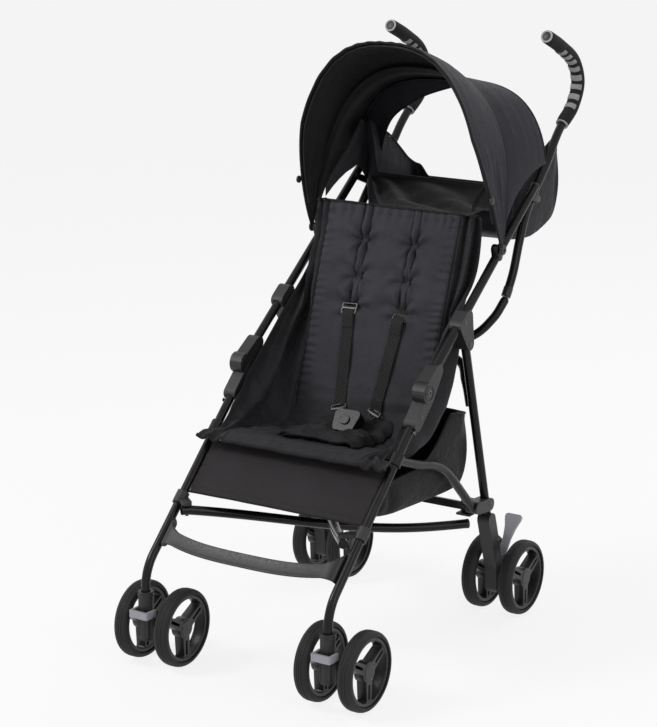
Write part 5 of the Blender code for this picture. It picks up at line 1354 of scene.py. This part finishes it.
def add_canopy():
    """The visor and the rear part, each a cloth with a lining, and their edges, stitches and wires."""
    front = canopy_rows(visor_point, VISOR_INSET)
    shell = canopy_rows(rear_point, REAR_INSET)
    rear = shell + canopy_rows(lambda share, x, _: hem_point(share, x), REAR_INSET, HEM_ROWS, 1)
    halves = (
        ("visor", "front", "visor", front, front, 0.0017),
        ("rear", "rear", "seat_group", rear, shell, 0.0019),
    )
    for label, end, body, grid, _, _ in halves:
        mesh = cloth(grid, PLAIN_CLOTH)
        on, node = [f"canopy_bow_{end}"], (f"canopy_{end}",)
        sheet(f"canopy_{label}_cloth", mesh, grid, CANOPY_CLOTH, node, body, CANOPY_KEEP)
    for label, _, body, _, grid, depth in halves:
        inner = [canopy_inside(row, depth) for row in grid]
        mesh = cloth(inner, THIN_CLOTH, levels=0)
        on = [f"canopy_{label}_cloth"]
        sheet(f"canopy_{label}_lining", mesh, inner, LINING_SHADED, (), body, CANOPY_KEEP)

    def edge(label, line, radius, sides, body, material=BINDING):
        piece(f"canopy_{label}", sweep(line, circle(radius, sides)), material, body, keep=CANOPY_KEEP)

    edge("front_piping", front[0], 0.0021, 10, "visor")
    edge("seam_piping", front[-1], 0.0014, 8, "visor")
    edge("rear_piping", shell[-1][3:-3], 0.0020, 10, "seat_group")
    edge("hem_binding", rear[-1][6:-6], 0.0018, 8, "seat_group")
    threads = merged(*(canopy_stitches(front, r, 3) for r in (3, CANOPY_ROWS - 3)))
    piece("canopy_visor_stitching", threads, THREAD, "visor", keep=CANOPY_KEEP)
    threads = canopy_stitches(rear, CANOPY_ROWS - 3, 4)
    piece("canopy_rear_stitching", threads, THREAD, "seat_group", keep=CANOPY_KEEP)
    # Spring wires just inside the front edge and the rear hoop
    edge("bow_front", canopy_inside(front[1][3:-3], 0.0062), 0.0026, 10, "visor", DARK_STEEL)
    edge("bow_rear", canopy_inside(shell[28][5:-5], 0.0062), 0.0026, 10, "seat_group", DARK_STEEL)


KNOB = ((0.0, -0.001), (0.0066, -0.001), (0.0070, 0.0004), (0.0066, 0.0022), (0.0040, 0.0030), (0.0, 0.0032))
PIVOT_CAP = ((0.0, -0.0010), (0.0088, -0.0010), (0.0094, 0.0008), (0.0084, 0.0026), (0.0030, 0.0032))
PIVOT_CAP += ((0.0028, 0.0020), (0.0, 0.0018))


def add_canopy_side(name, side):
    """The knob on the front hoop and the pivot's cap."""
    for label, profile, place, sides in (
        ("knob", KNOB, (0.5085, 0.794), 28),
        ("pivot_cap", PIVOT_CAP, CANOPY_PIVOT, 32),
    ):
        mesh = side_of(turned_on_x(profile, (0.2040, *place), sides), side)
        piece(f"canopy_{label}_{name}", mesh, PLASTIC, "visor", keep=CANOPY_KEEP)


# Pouch behind the seat back, its heights as (Y, Z) lines
BAG_SIDES = 144
RIM_LEFT = ((0.660, 0.792), (0.710, 0.800), (0.750, 0.824), (0.785, 0.852), (0.806, 0.866), (0.852, 0.846))
RIM_RIGHT = ((0.660, 0.888), (0.700, 0.880), (0.735, 0.864), (0.775, 0.834), (0.819, 0.797), (0.856, 0.775))
POUCH_FLOOR = ((0.660, 0.7035), (0.700, 0.6860), (0.745, 0.6745), (0.800, 0.6880), (0.855, 0.7080))
WING_DEPTHS = (0.6900, 0.6640, 0.6460, 0.6300, 0.6120, 0.5940, 0.5720, 0.5500, 0.5240)
WINGS = {
    "left": (
        (0.7600, 0.7700, 0.7930, 0.8080, 0.8100, 0.8020, 0.7920, 0.7800, 0.7640),
        (0.7880, 0.7920, 0.8050, 0.8180, 0.8240, 0.8220, 0.8140, 0.8000, 0.7800),
    ),
    "right": (
        (0.7700, 0.7780, 0.8000, 0.8080, 0.8020, 0.7980, 0.7900, 0.7800, 0.7640),
        (0.8780, 0.8860, 0.8930, 0.8780, 0.8600, 0.8450, 0.8280, 0.8080, 0.7820),
    ),
}


def height_on(line, y):
    return float(np.interp(y, *zip(*line)))


def pouch_rim_height(x, y):
    """The rim, with its right side high in front and low behind, and its left side the other way round."""
    base = 0.790 - 0.185 * (y - 0.664)
    high = height_on(RIM_LEFT if x > 0 else RIM_RIGHT, y)
    return base + (high - base) * step_between(0.128, 0.150, abs(x))


def bag(rim, floor, half_x, middle_y, half_y, square, bulge, levels, rings, sag, crumple):
    """A soft bag as rows of points: down its wall from the rim and in over its floor."""
    rows = []
    for level in range(levels + 1):
        share = level / levels
        tight = 1 - 0.05 * share**6
        out = bulge * math.sin(math.pi * min(1.0, share * 1.05)) * 0.6
        row = []
        for k in range(BAG_SIDES + 1):
            turn = 2 * math.pi * k / BAG_SIDES
            ca, sa = on_circle(1.0, turn)
            x = signed_power(ca, 2 / square) * half_x
            y = signed_power(sa, 2 / square) * half_y
            wide = x * tight + math.copysign(out, x) * min(1.0, abs(x) / half_x) ** 3
            deep = y * tight + math.copysign(out, y) * min(1.0, abs(y) / half_y) ** 3
            top, low = rim(x, middle_y + y), height_on(floor, middle_y + y)
            fold = crumple * math.sin(9 * turn + 4 * share + 3 * wave(ca, sa, share, 1.6))
            fold *= math.sin(math.pi * share) ** 0.7
            row.append(Vector((wide + ca * fold, middle_y + deep + sa * fold, top + (low - top) * share)))
        rows.append(row)
    last = rows[-1]
    for ring in range(1, rings + 1):
        share = 1 - ring / (rings + 0.35)
        row = []
        for point in last:
            x, y = point.x * share, middle_y + (point.y - middle_y) * share
            low = height_on(floor, y) - sag * (1 - share**2) + 0.0012 * wave(x, y, 4.0, 22.0)
            row.append(Vector((x, y, low)))
        rows.append(row)
    return rows


def closed_bag(rows, thickness):
    """The bag's rows as one thin closed mesh, joined round its seam and over its floor."""
    bm = bmesh.new()
    uv = bm.loops.layers.uv.new("UVMap")
    grid = [[bm.verts.new(point) for point in row[:BAG_SIDES]] for row in rows]
    for here, there in zip(grid, grid[1:]):
        for c in range(BAG_SIDES):
            after = (c + 1) % BAG_SIDES
            face = bm.faces.new((here[c], here[after], there[after], there[c]))
            for loop in face.loops:
                at = loop.vert.co
                loop[uv].uv = (at.x + at.y * 0.6, at.z + at.y * 0.4)
    bm.faces.new(grid[-1])
    item = linked("scratch", made(bm, outward=True))
    solid = item.modifiers.new("solid", "SOLIDIFY")
    solid.thickness = thickness
    solid.offset = 0.0
    solid.use_even_offset = False
    return finished(evaluated(item), levels=1)


def add_bag(name, rows, thickness, material, binding):
    """A hanging bag and the binding round its rim."""
    sheet(f"{name}_cloth", closed_bag(rows, thickness), rows, material, (name,))
    rim = [point + Vector((0, 0, 0.0004)) for point in rows[0][:-1]]
    soft(f"{name}_binding", sweep(rim, circle(binding, 10), closed=True), BINDING)


def flap_point(share, c):
    """The cloth between the seat's back and the pouch, with folds that fan out from one corner."""
    left = -0.030 - 0.120 * share
    x = left + (0.1540 - left) * c
    fan = math.atan2(0.03 + 0.150 * (1 - share), x + 0.170)
    lift = 0.0065 * math.sin(19 * fan + 5 * wave(x, share * 0.2, 3.0, 7.0)) - 0.012
    lift += 0.0050 * wave(x * 0.9, share * 0.35, 1.0, 17.0)
    return x, 0.5185 + 0.1505 * share, 0.7600 + 0.0280 * share + lift * math.sin(math.pi * share)


def add_pouch():
    rows = bag(
        pouch_rim_height, POUCH_FLOOR, half_x=0.1585, middle_y=0.7590, half_y=0.0950, square=15.0,
        bulge=0.0016, levels=18, rings=9, sag=0.0, crumple=0.0030,
    )
    add_bag("pouch", rows, STRONG_CLOTH, POUCH_CLOTH, 0.0022)
    centre = Vector((0.0, 0.758, 0.78))
    normals = [(point - centre).normalized() for point in rows[2][:-1]]
    outside = [point + Vector((n.x, n.y, 0)).normalized() * 0.0013 for point, n in zip(rows[2], normals)]
    soft("pouch_stitching", stitches(outside, normals), THREAD)
    grid = surface(16, 64, flap_point)
    sheet("back_flap_cloth", cloth(grid, LIGHT_CLOTH), grid, LINING_SHADED)
    # A wing of the pouch on each side, laced forward to the top corner of the seat's back
    knots = [k / 8 for k in range(9)]
    for name, side in SIDES:

        def at(share, along):
            y, low, high = (float(np.interp(along, knots, line)) for line in (WING_DEPTHS, *WINGS[name]))
            fold = 0.0040 * wave(share * 1.1, along * 1.3, side * 2.0, 3.0) * math.sin(math.pi * along)
            return side * (0.1560 + fold), y, low + (high - low) * share

        grid = surface(16, 32, at)
        mesh, on = cloth(grid, LIGHT_CLOTH), ["pouch_cloth", "seat_cover"]
        sheet(f"pouch_wing_{name}", mesh, grid, POUCH_CLOTH)


# Basket, its heights as (Y, Z) lines
BASKET_RIM = ((0.178, 0.346), (0.300, 0.346), (0.360, 0.348), (0.418, 0.420), (0.455, 0.414), (0.500, 0.402))
BASKET_FLOOR = ((0.178, 0.2860), (0.300, 0.2790), (0.420, 0.2720), (0.512, 0.2710))


def add_basket():
    def rim(x, y):
        return height_on(BASKET_RIM, y)

    rows = bag(
        rim, BASKET_FLOOR, half_x=0.1765, middle_y=0.3430, half_y=0.1610, square=9.0,
        bulge=0.0014, levels=16, rings=12, sag=-0.001, crumple=0.0036,
    )
    add_bag("basket", rows, PLAIN_CLOTH, BASKET_CLOTH, 0.0024)


# Harness
LAP_NORMAL = Vector((0, -0.74, 0.67))
CROTCH_STRAP = ((0, 0.3765, 0.3985), (0, 0.3700, 0.3905), (0, 0.3620, 0.3815), (0, 0.3540, 0.3735))
CROTCH_STRAP += ((0, 0.3470, 0.3690),)


def lap_point(share, c):
    """A crumpled pad in the lap, lower under the buckle."""
    across = -1 + 2 * c
    x = 0.002 + (0.076 + 0.010 * wave(share, 2.0, 0.0, 3.0)) * across
    y = 0.256 + 0.130 * share - 0.012 * across**2 * (1 - share) + 0.006 * wave(across, 0.0, share, 2.0)
    edge = (1 - across**8) * math.sin(math.pi * (0.06 + 0.88 * share)) ** 0.5
    heap = 0.5 + 0.5 * wave(x * 1.1, y * 1.4, 5.0, 24.0)
    ridge = max(0.0, 1 - 2.4 * abs(wave(x * 0.9, y * 1.7, 9.0, 19.0)))
    by_buckle = 1 - 0.7 * bell(x, 0.021) * bell(y - 0.366, 0.022)
    rise = (0.0040 + 0.0150 * heap * heap + 0.0130 * ridge) * edge * by_buckle
    return x, y, on_seat(x, y) + 0.0048 + rise


def add_harness():
    """Two shoulder straps with adjusters and end hooks, the strap at the crotch, and the lap's pad."""
    straps, hardware = [], []
    for way in (-1, 1):
        path = []
        for k in range(33):
            share = k / 32
            lift = 0.0016 + 0.0022 * math.sin(math.pi * share) + 0.0008 * math.sin(share * 14)
            path.append(on_back(way * (0.0550 - 0.0165 * share), 0.590 - 0.178 * share, lift))
        straps.append(strap(*zip(*path), width=0.0245, thickness=0.0016))
        doubled = ((point + normal * 0.0019, normal) for point, normal in path[1:9])
        straps.append(strap(*zip(*doubled), width=0.0235, thickness=0.0014))
        at, up = on_back(way * 0.0545, 0.578, 0.0042)
        down = (on_back(way * 0.0535, 0.560, 0.0042)[0] - at).normalized()
        hardware.append(oriented(ladder_lock(), at, down, up))
        end = on_back(way * 0.0385, 0.4100, 0.0030)[0]
        down = Vector((-way * 0.35, -0.62, -0.70)).normalized()
        hardware.append(oriented(side_hook(), end + down * 0.002, down, LAP_NORMAL))
    crotch = smooth_path(CROTCH_STRAP, 5)
    straps.append(strap(crotch, [LAP_NORMAL] * len(crotch), width=0.0250, thickness=0.0018))
    piece("harness_webbing", merged(*straps), WEBBING, "seat_group", ("harness",))
    piece("harness_hardware", merged(*hardware), BRIGHT_CLIP, "seat_group")
    mesh = cloth(surface(52, 72, lap_point), 0.0036, levels=0)
    piece("crotch_pad", mesh, LAP_CLOTH, "seat_group", smooth_angle=CLOTH_ANGLE)


def oriented(mesh, centre, down, up):
    """A mesh made with its length along -Z and its face to -Y, put in place."""
    up = (up - down * up.dot(down)).normalized()
    turn = Matrix((up.cross(down), -up, -down)).transposed().to_4x4()
    mesh.transform(Matrix.Translation(centre) @ turn)
    return mesh


def slotted(half_width, low, high, slot_half, slots, half_thickness):
    """A flat buckle plate with slots, each a (low, high) pair, its face to -Y."""
    outlines = []
    for half, bottom, top in ((half_width, low, high), *((slot_half, *slot) for slot in slots)):
        outlines.append([(-half, bottom), (half, bottom), (half, top), (-half, top)])
    mesh = pierced(outlines, half_thickness, 0.0007)
    mesh.transform(Matrix.Rotation(math.radians(90), 4, "Z"))
    return mesh


def ladder_lock():
    """A strap adjuster: a frame with two slots and a raised lip."""
    slots = ((-0.0078, -0.0012), (0.0024, 0.0082))
    lip = bar([(-0.0150, -0.0008, -0.0108), (0.0150, -0.0008, -0.0108)], 0.0017, 10)
    return merged(slotted(0.0165, -0.0105, 0.0105, 0.0130, slots, 0.0012), lip)


def side_hook():
    """The end piece of a shoulder strap: a slotted bar and three prongs into the buckle."""
    prongs = (
        bar([(x, 0, -0.0050), (x * 0.8, 0, -0.0110), (x * 0.45, 0, -0.0150)], 0.0015, 10, (False, True))
        for x in (-0.0070, 0.0, 0.0070)
    )
    return merged(slotted(0.0150, -0.0055, 0.0055, 0.0125, ((-0.0012, 0.0028),), 0.0010), *prongs)


# Footrest: the band's ends as X, distance in front of the legs, height, and its start along them
FOOTREST_Y = 0.0570
FOOTREST_HALF = 0.156
FOOTREST_ENDS = (
    (0.156, 0.0125, 0.030, -0.0290),
    (0.167, 0.0120, 0.037, -0.0290),
    (0.1745, 0.0100, 0.046, -0.0290),
    (0.1785, 0.0060, 0.055, -0.0290),
    (0.1792, 0.0000, 0.057, -0.0285),
    (0.1792, -0.0060, 0.052, -0.0260),
    (0.1792, -0.0095, 0.044, -0.0220),
)


def footrest_rows():
    """The band from one leg to the other, bowed forward in its middle and wrapped round its ends."""
    middle = leg_point(FOOTREST_Y)
    half = []
    for x in np.linspace(0.0, 0.150, 22):
        bow = 0.0145 * (1 - (x / FOOTREST_HALF) ** 3)
        low = middle + LEG_FRONT * 0.0125 + LEG_DIRECTION * -0.029 - Vector((0, 0.9, 0.5)) * bow
        half.append((x, low, 0.027 + 0.001 * (x / 0.15) ** 4))
    ends = smooth_path([end[:3] for end in FOOTREST_ENDS], 3)
    starts = smooth_path([(end[3], 0, 0) for end in FOOTREST_ENDS], 3)
    for end, start in zip(ends, starts):
        half.append((end.x, middle + LEG_FRONT * end.y + LEG_DIRECTION * start.x, end.z))
    rows = []
    for way, run in ((-1, half[:0:-1]), (1, half)):
        for x, low, height in run:
            row = []
            for share in (k / 8 for k in range(9)):
                lip = 0.0009 * (bell(share, 0.09) + bell(share - 1, 0.09))
                lip -= 0.0006 * math.sin(math.pi * share)
                lip *= min(1.0, (0.165 - min(x, 0.165)) / 0.02)
                point = low + LEG_DIRECTION * height * share + LEG_FRONT * lip
                row.append(Vector((way * x, point.y, point.z)))
            rows.append(row)
    return rows


def add_footrest():
    soft("footrest_band", cloth(footrest_rows(), 0.0036), PLASTIC, ("footrest",), 60.0)
    rivets = []
    for way in (-1, 1):
        for height in (-0.008, 0.014):
            at = leg_point(FOOTREST_Y) + LEG_DIRECTION * height
            rivets.append(screw((way * 0.1772, at.y, at.z), (-way, 0, 0), 0.0038, 0.0012))
    soft("footrest_rivets", merged(*rivets), DARK_STEEL)


# Screws, rings and plugs on the frame
KNUCKLE_FACE = HALF_TRACK + 0.0150
BRACKET_FACE = HALF_TRACK + 0.0120
KNUCKLE_RING = ((0.0128, 0.0), (0.0142, 0.0), (0.0142, 0.0008), (0.0128, 0.0008), (0.0128, 0.0))
TUBE_PLUG = ((0.0, -0.002), (0.0079, -0.002), (0.0084, 0.0004), (0.0080, 0.0026), (0.0050, 0.0036))
TUBE_PLUG += ((0.0, 0.0038),)


def add_fixings(name, side):
    """Screw heads on the outer faces, rings on the knuckle and the fork, and the upper tube's plug."""
    body = f"side_frame_{name}"
    drum, hub = upper_point(KNUCKLE_Y), Vector((0, *UPPER_POINT))
    screws = [
        screw((face, y, z), (1, 0, 0), radius, proud, hex_hole)
        for face, (_, y, z), radius, proud, hex_hole in (
            (KNUCKLE_FACE, drum, 0.0060, 0.0016, True),
            (BRACKET_FACE, hub - Vector((0, 0.004, 0.002)), 0.0042, 0.0012, False),
            (BRACKET_FACE, rear_leg_point(0.5450), 0.0042, 0.0012, False),
            (BRACKET_FACE, leg_point(0.256), 0.0034, 0.0009, False),
            (BRACKET_FACE, leg_point(0.279), 0.0034, 0.0009, False),
            (BRACKET_FACE, rear_leg_point(0.2265), 0.0042, 0.0012, False),
            (HALF_TRACK + 0.0125, (0, 0.5593, 0.150), 0.0036, 0.0010, False),
        )
    ]
    rings = [
        ring_clip(Vector((HALF_TRACK, 0, z - 0.0012)), Vector((0, 0, 1)), 0.0024, 0.0128, 0.0143)
        for z in (0.1434, 0.1380)
    ]
    top = upper_point(UPPER_TOP_Y)
    for label, mesh, material, on in (
        ("frame_screws", merged(*screws), STEEL, body),
        ("knuckle_ring", turned_on_x(KNUCKLE_RING, (KNUCKLE_FACE, drum.y, drum.z), 40), PLASTIC, body),
        ("fork_rings", merged(*rings), PLASTIC, f"caster_{name}"),
        ("upper_tube_plug", turned(TUBE_PLUG, top, top + UPPER_DIRECTION, 32), PLASTIC, body),
    ):
        piece(f"{label}_{name}", side_of(mesh, side), material, on)


NODE_FINISHES = (
    ("swivel_lock", LEVER),
    ("brake_pedal", PEDAL),
    ("brace_link", TUBE),
    ("buckle", BRIGHT_CLIP),
)


def dress_nodes():
    """Give each piece of the mechanism that stays in view its finish."""
    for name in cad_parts:
        item = bpy.data.objects.get(name)
        if item is None or item.type != "MESH":
            continue
        finish = next((material for part, material in NODE_FINISHES if part in name), PLASTIC)
        if not item.data.materials:
            item.data.materials.append(finish)
        for slot in item.material_slots:
            slot.material = finish


add_camera()
add_stage()
add_seat()
add_calf_panel()
add_canopy()
add_pouch()
add_basket()
add_harness()
add_footrest()
for side_name, side_sign in SIDES:
    for add in (add_tubes, add_grip, add_wheels, add_canopy_side, add_fixings):
        add(side_name, side_sign)
dress_nodes()

plain = lambda box: [[float(value) for value in corner] for corner in box]
{"cad": plain(CAD_BOX), "visual": plain(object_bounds())}
